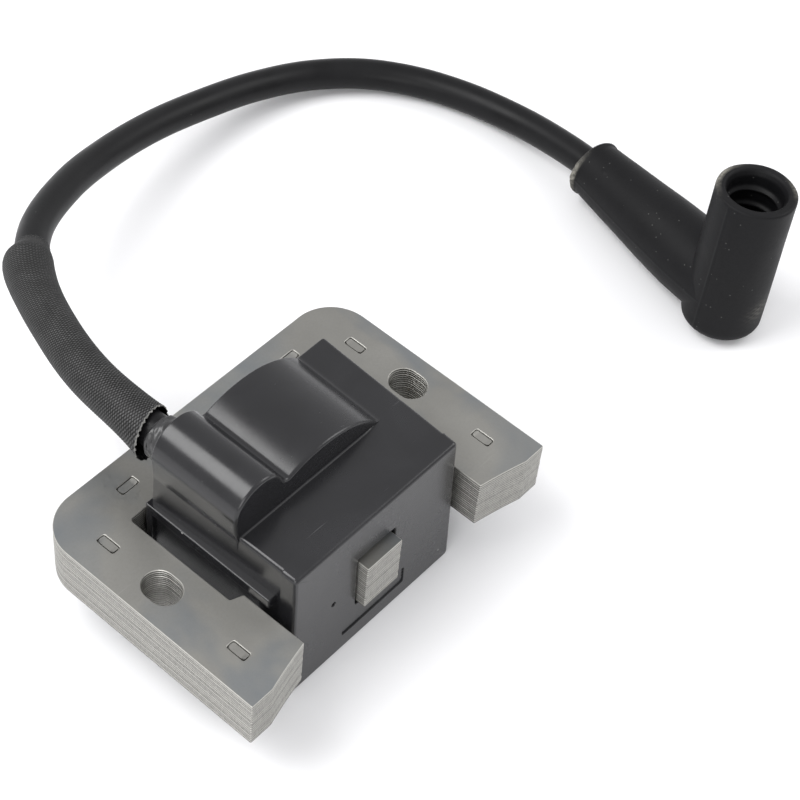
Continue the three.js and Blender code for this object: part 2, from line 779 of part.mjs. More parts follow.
function part(name, geometry, look) {
  const mesh = new THREE.Mesh(geometry, look);
  mesh.name = name;
  return mesh;
}

const coil = new THREE.Group();
coil.add(...laminations());
coil.add(part('coil_housing', geometryOf(housing()), mouldedBlack));
coil.add(part('potting_resin', geometryOf(resin()), resinBlack));
coil.add(part('primary_bobbin', geometryOf(bobbin(COIL.primary, 1)), bobbinPlastic));
coil.add(part('primary_winding', winding(COIL.primary, 1, 0), copper));
coil.add(part('secondary_bobbin', geometryOf(bobbin(COIL.secondary, COIL.bays)), bobbinPlastic));
for (let bay = 0; bay < COIL.bays; bay += 1) {
  const wire = winding(COIL.secondary, COIL.bays, bay);
  coil.add(part(`secondary_winding_${bay + 1}`, wire, copper));
}
coil.add(...electronics());
coil.add(part('tower_terminal', geometryOf(towerTerminal()), brass));
coil.add(part('kill_terminal', killTerminal(), brass));
coil.add(part('earth_strap', geometryOf(earthStrap()), tinned));
coil.add(part('lead_seal', leadSeal(), sealant));

const core = swept(ring(LEAD.core, 0, LEAD.coreSides), route, LEAD.steps);
const jacket = swept(ring(LEAD.radius, LEAD.bore, LEAD.sides), route, LEAD.steps);
const sleeved = stretch(SLEEVE.start, SLEEVE.end, SLEEVE.steps);
const sleeve = swept(ring(SLEEVE.outer, SLEEVE.inner, LEAD.sides), sleeved, SLEEVE.steps);
const lead = new THREE.Group();
lead.add(part('lead_core', core, copper));
lead.add(part('ht_lead', jacket, leadRubber));
lead.add(part('lead_sleeve', sleeve, braid));

const boot = new THREE.Group();
boot.add(part('plug_boot', geometryOf(plugBoot()), bootRubber));
boot.add(part('plug_clip', geometryOf(plugClip()), tinned));
boot.applyMatrix4(BOOT_PLACE);

const ignitionCoil = new THREE.Group();
ignitionCoil.add(coil, lead, boot);

export default ignitionCoil;
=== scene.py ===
import json
import math

import bmesh
import bpy
import numpy as np
from bpy.props import FloatProperty, FloatVectorProperty, IntProperty, PointerProperty
from mathutils import Matrix, Vector


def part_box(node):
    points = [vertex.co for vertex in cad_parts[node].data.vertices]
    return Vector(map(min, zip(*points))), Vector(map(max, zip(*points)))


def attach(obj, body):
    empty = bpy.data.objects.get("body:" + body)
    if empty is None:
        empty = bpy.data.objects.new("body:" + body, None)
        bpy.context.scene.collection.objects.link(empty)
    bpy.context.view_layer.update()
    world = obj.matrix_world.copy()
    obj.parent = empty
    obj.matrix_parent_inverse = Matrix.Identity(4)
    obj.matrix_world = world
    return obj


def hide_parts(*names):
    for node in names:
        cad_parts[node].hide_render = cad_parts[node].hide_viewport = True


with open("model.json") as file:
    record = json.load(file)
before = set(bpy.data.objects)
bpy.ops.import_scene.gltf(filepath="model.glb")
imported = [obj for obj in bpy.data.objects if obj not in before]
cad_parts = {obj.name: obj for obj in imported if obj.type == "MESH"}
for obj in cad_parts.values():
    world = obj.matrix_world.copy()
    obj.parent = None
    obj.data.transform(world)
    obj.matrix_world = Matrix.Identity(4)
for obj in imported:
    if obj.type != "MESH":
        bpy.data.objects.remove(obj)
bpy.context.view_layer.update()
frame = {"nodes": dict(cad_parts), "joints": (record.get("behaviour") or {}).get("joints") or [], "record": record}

# Looks of a small engine's ignition coil: an armature of punched sheets, a potted housing with
# its tower, a sleeved high-tension lead and a right-angle plug boot.
#
# Shapes are worked out in millimetres in the part's own frame, +Z up, and put into meshes in
# metres. The coil stands on Z = 0, its pole faces look towards -Y and the lead leaves to +Y.

bl_info = {
    "name": "Ignition coil",
    "version": (1, 0, 0),
    "blender": (4, 5, 0),
    "location": "3D View > Sidebar > Ignition coil",
    "description": "Builds the visible pieces of a small engine's ignition coil over its frame",
    "category": "Add Mesh",
}

MM = 0.001
TURN = 2 * math.pi


def node_box(name):
    """Lowest and highest corner of a frame node, in millimetres."""
    low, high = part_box(name)
    return np.array(low) / MM, np.array(high) / MM


HOUSING_LOW, HOUSING_HIGH = node_box("coil_housing")
ARMATURE_LOW, ARMATURE_HIGH = node_box("lamination_01")[0], node_box("lamination_20")[1]
SHEET, SHEET_BOTTOM, SLOT_X = 0.6, ARMATURE_LOW[2], 33.3
SHEETS = sorted(name for name in frame["nodes"] if name.startswith("lamination_"))
SWIVEL = frame["joints"][0]
MOUNTS = {mount["name"]: mount for mount in frame["record"]["mounts"]}

# Housing: the front and back lean out downwards by DRAFT for each millimetre, the side walls
# by SIDE_DRAFT, and the walls, the roof and the hump all grow towards the back by BACK_DRAFT.
TOP = 34.5
DRAFT = 0.031
SIDE_DRAFT = 0.017
BACK_DRAFT = 0.030
HALF_TOP = 21.8
FRONT_TOP = -20.3
BACK_TOP = 14.0
WALL = 2.0
PLATE_BACK = FRONT_TOP + 3.6
PLATE_STEP = 0.22
CROWN_FRONT = -6.8
HUMP_X, HUMP_Z, HUMP_RADIUS = -0.95, 20.6, 20.9
TOWER_X, TOWER_Z, TOWER_RADIUS = -16.8, 39.8, 6.2
BORE_Z, BORE_RADIUS, BORE_END = 37.4, 3.9, 2.6

# Openings of the housing, as their lowest and highest X and then Z, and the pit by its centre.
LEG_OPENING = (-5.2, 5.2, 10.9, 24.7)
PANEL, PANEL_DEPTH = (-8.6, 8.7, 4.3, 8.9), 0.3
PIT, PIT_RADIUS, PIT_DEPTH = (-11.4, 17.4), 0.55, 0.5
EARTH_SLOT, EARTH_SLOT_FRONT = (15.1, 19.1, 26.65, 27.75), 8.0
TERMINAL_PORT, PORT_FRONT, PORT_BACK = (TOWER_X - 2.5, TOWER_X + 2.5, 31.5, 40.4), -3.6, 2.8
# The stop terminal's slot runs along X, so its limits are in Y and then Z.
TAB_SLOT, TAB_SLOT_FROM, TAB_SLOT_TO = (0.45, 7.55, 5.2, 6.8), 18.0, 28.0
# The side lips and the ribs at their back end, as lowest and highest Z, then front and back Y.
LIP_LOW, LIP_HIGH, LIP_FRONT, LIP_BACK = 23.9, 26.3, -15.9, 15.0
RIB_LOW, RIB_HIGH, RIB_FRONT, RIB_BACK = 8.0, 25.0, 13.45, 14.97

# Lead: its route in metres, from inside the tower to the boot's collar. The two points in the
# boot's arm follow from the boot's place.
ROUTE = [
    (-0.0168, 0.0030, 0.0374),
    (-0.0168, 0.0140, 0.0374),
    (-0.0168, 0.0250, 0.0374),
    (-0.0156, 0.0370, 0.0367),
    (-0.0115, 0.0502, 0.0345),
    (-0.0045, 0.0645, 0.0310),
    (0.0080, 0.0784, 0.0265),
    (0.0240, 0.0868, 0.0218),
    (0.0400, 0.0916, 0.0170),
    (0.0560, 0.0938, 0.0129),
    (0.0710, 0.0936, 0.0095),
    (0.0855, 0.0916, 0.0068),
    (0.0986, 0.0871, 0.0048),
    (0.1090, 0.0792, 0.0040),
    (0.1160, 0.0693, 0.0037),
    (0.1205, 0.0575, 0.0038),
    (0.1224, 0.0450, 0.0045),
    (0.1222, 0.0340, 0.0058),
]
LEAD_RADIUS = 3.5
SLEEVE_START, SLEEVE_END = 16.8, 77.0
LEAD_STOP = 10.0

# Boot: the arm's length, and the barrel with its foot and mouth measured from the elbow.
ARM_LENGTH = 44.8
BARREL_RADIUS, BARREL_FOOT, BARREL_MOUTH = 8.7, -8.8, 27.5


# ------------------------------------------------------------------ settings


class StageSettings(bpy.types.PropertyGroup):
    floor_colour: FloatVectorProperty(
        name="Floor",
        description="Colour of the floor and the air round it",
        subtype="COLOR",
        size=3,
        min=0,
        max=1,
        default=(0.86, 0.86, 0.87),
    )
    key_power: FloatProperty(
        name="Key light",
        description="Power of the large light above the coil",
        subtype="POWER",
        default=6.0,
        min=0,
    )
    lens: FloatProperty(
        name="Lens",
        description="Focal length of the camera",
        unit="CAMERA",
        default=98.69,
        min=20,
    )


class ArmatureSettings(bpy.types.PropertyGroup):
    chamfer: FloatProperty(
        name="Edge break",
        description="Size of the broken edge of each punched sheet",
        unit="LENGTH",
        default=0.00007,
        min=0.00001,
        max=0.0001,
    )
    stagger: FloatProperty(
        name="Stagger",
        description="How far a sheet may stand out of line with the stack",
        unit="LENGTH",
        default=0.00004,
        min=0,
        max=0.0002,
    )
    steel: FloatVectorProperty(
        name="Steel",
        description="Colour of the bare punched sheet",
        subtype="COLOR",
        size=3,
        min=0,
        max=1,
        default=(0.285, 0.28, 0.262),
    )


class HousingSettings(bpy.types.PropertyGroup):
    rim_rounding: FloatProperty(
        name="Rim rounding",
        description="Radius of the housing's outer edges",
        unit="LENGTH",
        default=0.0008,
        min=0.0002,
        max=0.0009,
    )
    plastic: FloatVectorProperty(
        name="Plastic",
        description="Colour of the moulded housing",
        subtype="COLOR",
        size=3,
        min=0,
        max=1,
        default=(0.011, 0.011, 0.0125),
    )


class LeadSettings(bpy.types.PropertyGroup):
    jacket: FloatVectorProperty(
        name="Jacket",
        description="Colour of the lead's rubber jacket",
        subtype="COLOR",
        size=3,
        min=0,
        max=1,
        default=(0.0055, 0.0055, 0.006),
    )
    yarn: FloatVectorProperty(
        name="Yarn",
        description="Colour of the sleeve's yarn where it lies on top",
        subtype="COLOR",
        size=3,
        min=0,
        max=1,
        default=(0.040, 0.040, 0.040),
    )
    yarns: IntProperty(
        name="Yarns",
        description="Yarns of each direction round the sleeve",
        default=24,
        min=8,
        max=48,
    )
    yarn_pitch: FloatProperty(
        name="Yarn pitch",
        description="Distance between neighbouring yarns along the sleeve",
        unit="LENGTH",
        default=0.00056,
        min=0.0003,
        max=0.002,
    )


class BootSettings(bpy.types.PropertyGroup):
    rubber: FloatVectorProperty(
        name="Rubber",
        description="Colour of the plug boot",
        subtype="COLOR",
        size=3,
        min=0,
        max=1,
        default=(0.0042, 0.0042, 0.0048),
    )
    flash: FloatProperty(
        name="Flash",
        description="Height of the mould's parting line on the boot",
        unit="LENGTH",
        default=0.00012,
        min=0,
        max=0.0004,
    )


# ------------------------------------------------------------------ shape tools


def unit(vectors):
    """The same vectors, each divided by its own length."""
    return vectors / np.linalg.norm(vectors, axis=-1, keepdims=True)


def smoothstep(value, low, high):
    """Rises from 0 at low to 1 at high along 3t^2 - 2t^3."""
    t = np.clip((value - low) / (high - low), 0, 1)
    return t * t * (3 - 2 * t)


def arc(centre, radius, start, end, count, last=True):
    """Points on a circle from one angle to another, in degrees."""
    angle = np.radians(np.linspace(start, end, count, endpoint=last))
    return np.array(centre) + radius * np.stack([np.cos(angle), np.sin(angle)], -1)


def line(start, end, count, last=False):
    """Points on a straight line from start towards end."""
    t = np.linspace(0, 1, count, endpoint=last)[:, None]
    return (1 - t) * np.array(start, float) + t * np.array(end, float)


def rounded(corners, radii, count=6):
    """A closed outline whose corners become arcs: each arc's centre lies on the corner's
    bisector at radius / sin(half angle), and radius 0 keeps the corner."""
    corners = np.array(corners, float)
    radii = np.broadcast_to(np.array(radii, float), len(corners))
    before = unit(np.roll(corners, 1, 0) - corners)
    after = unit(np.roll(corners, -1, 0) - corners)
    half = np.arccos(np.clip((before * after).sum(-1), -1, 1)) / 2
    outline = []
    for k, radius in enumerate(radii):
        if radius == 0:
            outline.append(corners[k : k + 1])
            continue
        centre = corners[k] + unit(before[k] + after[k]) * radius / np.sin(half[k])
        first = corners[k] + before[k] * radius / np.tan(half[k]) - centre
        last = corners[k] + after[k] * radius / np.tan(half[k]) - centre
        sweep = np.pi - 2 * half[k]
        t = np.linspace(0, 1, count)[:, None]
        outline.append(
            centre + (np.sin((1 - t) * sweep) * first + np.sin(t * sweep) * last) / np.sin(sweep)
        )
    return np.vstack(outline)


def outward(outline):
    """Unit normals of a closed counterclockwise outline, square to the line through the two
    neighbours of each point."""
    along = unit(np.roll(outline, -1, 0) - np.roll(outline, 1, 0))
    return np.stack([along[:, 1], -along[:, 0]], -1)


def grid_faces(rows, cols, loop_rows, loop_cols):
    """Corners of a grid's quads, and the same corners as (row, column) places that run on
    past the last one where the grid closes on itself."""
    i, j = np.meshgrid(
        np.arange(rows if loop_rows else rows - 1),
        np.arange(cols if loop_cols else cols - 1),
        indexing="ij",
    )
    steps = np.array([(0, 0), (0, 1), (1, 1), (1, 0)])
    place = np.stack([i, j], -1).reshape(-1, 1, 2) + steps
    return (place[..., 0] % rows) * cols + place[..., 1] % cols, place


class Shell:
    """One or more closed surfaces, gathered from grids and end faces."""

    def __init__(self):
        self.points = []
        self.faces = []
        self.uvs = []
        self.heights = []
        self.count = 0

    def grid(self, points, loop_rows=False, loop_cols=False, height=None):
        """Adds a rows x columns x 3 array of points as quads. Its UV runs from 0 to 1 over
        the columns and the rows, and height is one number for each point."""
        rows, cols = points.shape[:2]
        corners, place = grid_faces(rows, cols, loop_rows, loop_cols)
        start = self.count
        self.points.append(points.reshape(-1, 3))
        self.faces += (corners + start).tolist()
        across = cols if loop_cols else cols - 1
        down = rows if loop_rows else rows - 1
        self.uvs.append((place[..., ::-1] / (across, down)).reshape(-1, 2))
        flat = np.zeros(rows * cols) if height is None else np.asarray(height).reshape(-1)
        self.heights.append(flat)
        self.count += rows * cols
        return start

    def end(self, start, count, reverse=False):
        """Closes the ring of points that begins at start with one flat face."""
        ring = list(range(start, start + count))
        self.faces.append(ring[::-1] if reverse else ring)
        self.uvs.append(np.zeros((count, 2)))

    def rod(self, rings, height=None):
        """Adds closed rings of points, joined in turn, with a flat face over each end."""
        rings = np.asarray(rings)
        rows, cols = rings.shape[:2]
        start = self.grid(rings, loop_cols=True, height=height)
        self.end(start, cols, reverse=True)
        self.end(start + (rows - 1) * cols, cols)
        return self

    def mesh(self, name, sharp=32):
        """The mesh in metres, with its faces outwards: if the sum of the tetrahedra from the
        origin to each face is negative, every face is turned round."""
        points = np.vstack(self.points) * MM
        made = bpy.data.meshes.new(name)
        made.from_pydata(points, [], self.faces)
        layer = made.uv_layers.new(name="UVMap")
        layer.data.foreach_set("uv", np.vstack(self.uvs).ravel())
        store = made.attributes.new("relief", "FLOAT", "POINT")
        store.data.foreach_set("value", np.concatenate(self.heights).astype(np.float32))
        whole = bmesh.new()
        whole.from_mesh(made)
        bmesh.ops.remove_doubles(whole, verts=whole.verts, dist=1e-7)
        if whole.calc_volume(signed=True) < 0:
            bmesh.ops.reverse_faces(whole, faces=whole.faces)
        whole.to_mesh(made)
        whole.free()
        smooth(made, sharp)
        return made

    def piece(self, name, sharp=32):
        return show(name, self.mesh(name, sharp))


def smooth(mesh, angle):
    """Smooth shading that breaks at edges sharper than an angle in degrees."""
    mesh.shade_smooth()
    mesh.set_sharp_from_angle(angle=math.radians(angle))


def show(name, mesh):
    """An object of a mesh in the scene, at the origin."""
    piece = bpy.data.objects.new(name, mesh)
    bpy.context.scene.collection.objects.link(piece)
    return piece


def settle(piece):
    """Puts the result of a piece's modifiers into its mesh."""
    graph = bpy.context.evaluated_depsgraph_get()
    made = bpy.data.meshes.new_from_object(piece.evaluated_get(graph))
    piece.modifiers.clear()
    piece.data = made


def combine(body, tool, operation):
    """Adds a closed piece to another or cuts it from it. The tool is used up."""
    step = body.modifiers.new("combine", "BOOLEAN")
    step.operation = operation
    step.solver = "EXACT"
    step.object = tool
    bpy.context.view_layer.update()
    settle(body)
    bpy.data.objects.remove(tool)


def even_normals(piece):
    """Large faces keep their own direction, and only the roundings between them shade over."""
    step = piece.modifiers.new("face weighted", "WEIGHTED_NORMAL")
    step.keep_sharp = True
    step.weight = 80


def prism(shell, outline, front, back, rounding=0.0, steps=5):
    """A solid along Y: the closed X-Z outline, drawn in by rounding * (1 - sin) at each end
    while Y runs in by rounding * (1 - cos). front and back are Y values or functions of Z."""
    normal = outward(outline)
    turn = np.radians(np.linspace(0, 90, steps)) if rounding else np.array([np.pi / 2])
    rows = []
    for end, inward in ((front, 1), (back, -1)):
        ring = []
        for angle in turn if inward > 0 else turn[::-1]:
            points = outline - normal * rounding * (1 - np.sin(angle))
            y = end(points[:, 1]) if callable(end) else np.full(len(points), end)
            y = y + inward * rounding * (1 - np.cos(angle))
            ring.append(np.stack([points[:, 0], y, points[:, 1]], -1))
        rows += ring
    shell.rod(rows)


def turned(profile, place, count=64):
    """Points of a closed profile of (radius, distance) pairs turned about the third axis of
    a place, which is a 4 x 3 array: three axes and an origin, in millimetres."""
    profile = np.array(profile, float)
    angle = np.arange(count) / count * TURN
    round_ = np.stack([np.cos(angle), np.sin(angle)], -1) @ place[:2]
    return place[3] + profile[:, None, :1] * round_ + profile[:, None, 1:] * place[2]


def centripetal(points, samples=60):
    """A smooth curve through the points: on each stretch a cubic whose knots are spaced by
    the square root of the distance, which never loops or overshoots."""
    points = np.array(points, float)
    ends = (2 * points[:1] - points[1:2], 2 * points[-1:] - points[-2:-1])
    p = np.vstack([ends[0], points, ends[1]])
    gap = np.sqrt(np.linalg.norm(np.diff(p, axis=0), axis=1))[:, None]
    d0, d1, d2 = gap[:-2], gap[1:-1], gap[2:]
    p0, p1, p2, p3 = p[:-3], p[1:-2], p[2:-1], p[3:]
    start = ((p1 - p0) / d0 - (p2 - p0) / (d0 + d1) + (p2 - p1) / d1) * d1
    end = ((p2 - p1) / d1 - (p3 - p1) / (d1 + d2) + (p3 - p2) / d2) * d1
    t = np.linspace(0, 1, samples, endpoint=False)[None, :, None]
    p1, p2, start, end = (x[:, None] for x in (p1, p2, start, end))
    curve = (
        p1
        + start * t
        + (3 * (p2 - p1) - 2 * start - end) * t**2
        + (2 * (p1 - p2) + start + end) * t**3
    )
    return np.vstack([curve.reshape(-1, 3), points[-1:]])


def measured(curve):
    """Distance along a curve at each of its points."""
    step = np.linalg.norm(np.diff(curve, axis=0), axis=1)
    return np.concatenate([[0], np.cumsum(step)])


def at(curve, distances):
    """Points of a curve at distances from its start."""
    run = measured(curve)
    return np.stack([np.interp(distances, run, curve[:, k]) for k in range(3)], -1)


def swept(path, radius, count, sag=None):
    """A tube about a path: at each point the circle lies square to the path, from an axis
    that stays level. radius is one number for each row, or for each row and column."""
    tangent = unit(np.gradient(path, axis=0))
    side = unit(np.cross(tangent, (0, 0, 1)))
    up = np.cross(side, tangent)
    angle = np.arange(count) / count * TURN
    radius = np.broadcast_to(np.asarray(radius, float).reshape(len(path), -1), (len(path), count))
    centre = path if sag is None else path - up * np.asarray(sag)[:, None]
    return (
        centre[:, None]
        + (radius * np.cos(angle))[..., None] * side[:, None]
        + (radius * np.sin(angle))[..., None] * up[:, None]
    )


# ------------------------------------------------------------------ shader tools


class Wiring:
    """Adds nodes to a tree. A value given for a socket is set on it, and a socket is linked."""

    def __init__(self, tree):
        self.tree = tree

    def add(self, kind, sockets=None, **settings):
        node = self.tree.nodes.new(kind)
        for key, value in settings.items():
            setattr(node, key, value)
        for key, value in (sockets or {}).items():
            if isinstance(value, bpy.types.NodeSocket):
                self.tree.links.new(value, node.inputs[key])
            else:
                node.inputs[key].default_value = value
        return node

    def math(self, operation, a, b=0.0, clamp=False):
        node = self.add("ShaderNodeMath", {0: a, 1: b}, operation=operation, use_clamp=clamp)
        return node.outputs[0]

    def ramp(self, value, low, high, to_low=0.0, to_high=1.0):
        node = self.add(
            "ShaderNodeMapRange",
            {"Value": value, "From Min": low, "From Max": high, "To Min": to_low, "To Max": to_high},
        )
        return node.outputs["Result"]

    def mix(self, factor, a, b):
        node = self.add("ShaderNodeMix", data_type="RGBA")
        for socket, value in ((node.inputs[0], factor), (node.inputs[6], a), (node.inputs[7], b)):
            if isinstance(value, bpy.types.NodeSocket):
                self.tree.links.new(value, socket)
            else:
                socket.default_value = value
        return node.outputs[2]

    def group(self, name, sockets=None):
        return self.add("ShaderNodeGroup", sockets, node_tree=bpy.data.node_groups[name])


def new_group(name, inputs, outputs):
    """An empty shader group with named sockets, as wiring, its inputs and its outputs."""
    tree = bpy.data.node_groups.new(name, "ShaderNodeTree")
    for title, kind, default in inputs:
        socket = tree.interface.new_socket(name=title, in_out="INPUT", socket_type=kind)
        if default is not None:
            socket.default_value = default
    for title, kind in outputs:
        tree.interface.new_socket(name=title, in_out="OUTPUT", socket_type=kind)
    wiring = Wiring(tree)
    return wiring, wiring.add("NodeGroupInput").outputs, wiring.add("NodeGroupOutput").inputs


def make_grain_group():
    """Grain: two sizes of noise added up, for fine texture in a moulded or cast skin."""
    w, given, out = new_group(
        "Grain",
        [("Vector", "NodeSocketVector", None), ("Scale", "NodeSocketFloat", 800.0)],
        [("Value", "NodeSocketFloat")],
    )
    coarse = w.add(
        "ShaderNodeTexNoise", {"Vector": given["Vector"], "Scale": given["Scale"], "Detail": 4.0}
    )
    fine_scale = w.math("MULTIPLY", given["Scale"], 4.3)
    fine = w.add(
        "ShaderNodeTexNoise", {"Vector": given["Vector"], "Scale": fine_scale, "Detail": 2.0}
    )
    both = w.math("ADD", coarse.outputs[0], w.math("MULTIPLY", fine.outputs[0], 0.5))
    w.tree.links.new(w.ramp(both, 0.45, 1.05), out["Value"])


def make_scratch_group():
    """Scratches: noise drawn out along two crossing directions, of which only the thin
    crests are kept."""
    w, given, out = new_group(
        "Scratches",
        [
            ("Vector", "NodeSocketVector", None),
            ("Scale", "NodeSocketFloat", 60.0),
            ("Cover", "NodeSocketFloat", 0.3),
        ],
        [("Mask", "NodeSocketFloat")],
    )
    masks = []
    for turn, stretch in ((0.5, 26.0), (-1.1, 34.0)):
        placed = w.add(
            "ShaderNodeMapping",
            {"Vector": given["Vector"], "Rotation": (0.2, 0.1, turn), "Scale": (1, stretch, stretch)},
        )
        crest = w.add(
            "ShaderNodeTexNoise",
            {"Vector": placed.outputs[0], "Scale": given["Scale"], "Detail": 2.0},
        )
        limit = w.math("SUBTRACT", 0.80, w.math("MULTIPLY", given["Cover"], 0.25))
        high = w.math("ADD", limit, 0.05)
        node = w.add("ShaderNodeMapRange", {"Value": crest.outputs[0]})
        w.tree.links.new(limit, node.inputs["From Min"])
        w.tree.links.new(high, node.inputs["From Max"])
        masks.append(node.outputs[0])
    w.tree.links.new(w.math("MAXIMUM", *masks), out["Mask"])


def make_speck_group():
    """Specks: small dots of one size at scattered points, each kept when its own random number is
    below the share.
    """
    w, given, out = new_group(
        "Specks",
        [
            ("Vector", "NodeSocketVector", None),
            ("Scale", "NodeSocketFloat", 500.0),
            ("Size", "NodeSocketFloat", 0.16),
            ("Share", "NodeSocketFloat", 0.1),
        ],
        [("Mask", "NodeSocketFloat")],
    )
    cells = w.add(
        "ShaderNodeTexVoronoi",
        {"Vector": given["Vector"], "Scale": given["Scale"], "Randomness": 1.0},
    )
    chosen = w.add("ShaderNodeSeparateColor", {"Color": cells.outputs["Color"]})
    kept = w.math("LESS_THAN", chosen.outputs[0], given["Share"])
    near = w.math("LESS_THAN", cells.outputs["Distance"], given["Size"])
    w.tree.links.new(w.math("MULTIPLY", kept, near), out["Mask"])


def make_blotch_group():
    """Blotches: slow noise, spread between 0 and 1, for stains and uneven tone."""
    w, given, out = new_group(
        "Blotches",
        [("Vector", "NodeSocketVector", None), ("Scale", "NodeSocketFloat", 40.0)],
        [("Value", "NodeSocketFloat")],
    )
    noise = w.add(
        "ShaderNodeTexNoise",
        {"Vector": given["Vector"], "Scale": given["Scale"], "Detail": 3.0, "Distortion": 0.6},
    )
    w.tree.links.new(w.ramp(noise.outputs[0], 0.32, 0.68), out["Value"])


def new_material(name, metallic=0.0, roughness=0.5):
    """A material with one Principled shader, as the material, its wiring, the shader and the
    coordinates."""
    made = bpy.data.materials.new(name)
    made.use_nodes = True
    w = Wiring(made.node_tree)
    shader = made.node_tree.nodes["Principled BSDF"]
    shader.inputs["Metallic"].default_value = metallic
    shader.inputs["Roughness"].default_value = roughness
    return made, w, shader, w.add("ShaderNodeTexCoord")


def wire(w, shader, colour=None, roughness=None, height=None, strength=0.3, distance=0.0001):
    """Links colour, roughness and a bump from a height into the shader."""
    if colour is not None:
        w.tree.links.new(colour, shader.inputs["Base Color"])
    if roughness is not None:
        w.tree.links.new(roughness, shader.inputs["Roughness"])
    if height is not None:
        bump = w.add(
            "ShaderNodeBump", {"Height": height, "Strength": strength, "Distance": distance}
        )
        w.tree.links.new(bump.outputs[0], shader.inputs["Normal"])


def shade(colour, factor):
    """An opaque colour, lighter or darker by a factor."""
    return tuple(min(c * factor, 1) for c in colour) + (1,)


def steel_material(colour):
    """Bare punched sheet: satin rolled faces with faint bluish stains, a painted highlight on the
    broken edges, and sheared edges on which each sheet has a burnished band above a dull
    torn one."""
    made, w, shader, place = new_material("punched_steel", metallic=0.85)
    vector = place.outputs["Object"]
    blotch = w.group("Blotches", {"Vector": vector, "Scale": 55.0}).outputs[0]
    stain = w.group("Blotches", {"Vector": vector, "Scale": 42.0}).outputs[0]
    grain = w.group("Grain", {"Vector": vector, "Scale": 1900.0}).outputs[0]
    scratch = w.group("Scratches", {"Vector": vector, "Scale": 45.0, "Cover": 0.22}).outputs[0]
    face = w.mix(blotch, shade(colour, 0.90), shade(colour, 1.08))
    bluish = (colour[0] * 0.66, colour[1] * 0.74, colour[2] * 0.86, 1)
    face = w.mix(w.math("MULTIPLY", w.ramp(stain, 0.45, 0.9), 0.75), face, bluish)
    face = w.mix(w.math("MULTIPLY", grain, 0.22), face, shade(colour, 0.70))
    face = w.mix(w.math("MULTIPLY", scratch, 0.30), face, shade(colour, 1.4))

    upright = w.add("ShaderNodeSeparateXYZ", {"Vector": place.outputs["Normal"]}).outputs[2]
    upright = w.math("ABSOLUTE", upright)
    # edge picks the slightly tilted broken edges, where a painted highlight is mixed in below
    edge = w.ramp(upright, 0.95, 0.90)
    cut = w.ramp(upright, 0.45, 0.35)
    height = w.add("ShaderNodeSeparateXYZ", {"Vector": vector}).outputs[2]
    sheets = w.math("DIVIDE", w.math("SUBTRACT", height, SHEET_BOTTOM * MM), SHEET * MM)
    within = w.math("FRACT", sheets)
    own = w.add("ShaderNodeTexWhiteNoise", {"W": w.math("FLOOR", sheets)}, noise_dimensions="1D")
    streaked = w.add("ShaderNodeMapping", {"Vector": vector, "Scale": (1, 1, 0.2)})
    streak = w.group("Grain", {"Vector": streaked.outputs[0], "Scale": 2600.0}).outputs[0]
    torn = w.ramp(within, 0.50, 0.62)
    tone = w.math("ADD", w.math("MULTIPLY", own.outputs["Value"], 0.12), streak)
    dull = w.mix(tone, shade(colour, 0.32), shade(colour, 1.00))
    burnished = w.mix(tone, shade(colour, 0.80), shade(colour, 1.60))
    sheared = w.mix(torn, dull, burnished)
    # painted highlight: the broken edges get 1.8 times the steel colour
    colour_out = w.mix(edge, face, shade(colour, 1.8))
    colour_out = w.mix(cut, colour_out, sheared)
    rough_face = w.ramp(grain, 0.0, 1.0, 0.36, 0.50)
    rough_cut = w.ramp(streak, 0.0, 1.0, 0.38, 0.62)
    mixed = w.add("ShaderNodeMix", {0: cut, 2: rough_face, 3: rough_cut})
    relief = w.math("ADD", w.math("MULTIPLY", grain, 0.4), w.math("MULTIPLY", scratch, -0.4))
    relief = w.math("ADD", relief, w.math("MULTIPLY", w.math("MULTIPLY", streak, cut), 1.6))
    wire(w, shader, colour_out, mixed.outputs[0], relief, 0.35, 0.00003)
    return made


def plastic_material(colour):
    """Moulded glossy plastic: nearly black, with a slow tone and ripple in it, fine hairline
    scratches and a few specks of dust."""
    made, w, shader, place = new_material("moulded_plastic")
    vector = place.outputs["Object"]
    blotch = w.group("Blotches", {"Vector": vector, "Scale": 60.0}).outputs[0]
    grain = w.group("Grain", {"Vector": vector, "Scale": 900.0}).outputs[0]
    scratch = w.group("Scratches", {"Vector": vector, "Scale": 70.0, "Cover": 0.22}).outputs[0]
    speck = w.group(
        "Specks", {"Vector": vector, "Scale": 420.0, "Size": 0.10, "Share": 0.05}
    ).outputs[0]
    colour_out = w.mix(blotch, shade(colour, 0.8), shade(colour, 1.25))
    colour_out = w.mix(w.math("MULTIPLY", scratch, 0.5), colour_out, (0.09, 0.09, 0.095, 1))
    colour_out = w.mix(w.math("MULTIPLY", speck, 0.6), colour_out, (0.35, 0.35, 0.34, 1))
    rough = w.ramp(blotch, 0.0, 1.0, 0.18, 0.26)
    rough = w.math("ADD", rough, w.math("MULTIPLY", grain, 0.05))
    rough = w.math("ADD", rough, w.math("MULTIPLY", w.math("MAXIMUM", scratch, speck), 0.3))
    relief = w.math("ADD", blotch, w.math("MULTIPLY", grain, 0.06))
    relief = w.math("ADD", relief, w.math("MULTIPLY", scratch, -0.25))
    wire(w, shader, colour_out, rough, relief, 0.12, 0.00005)
    return made


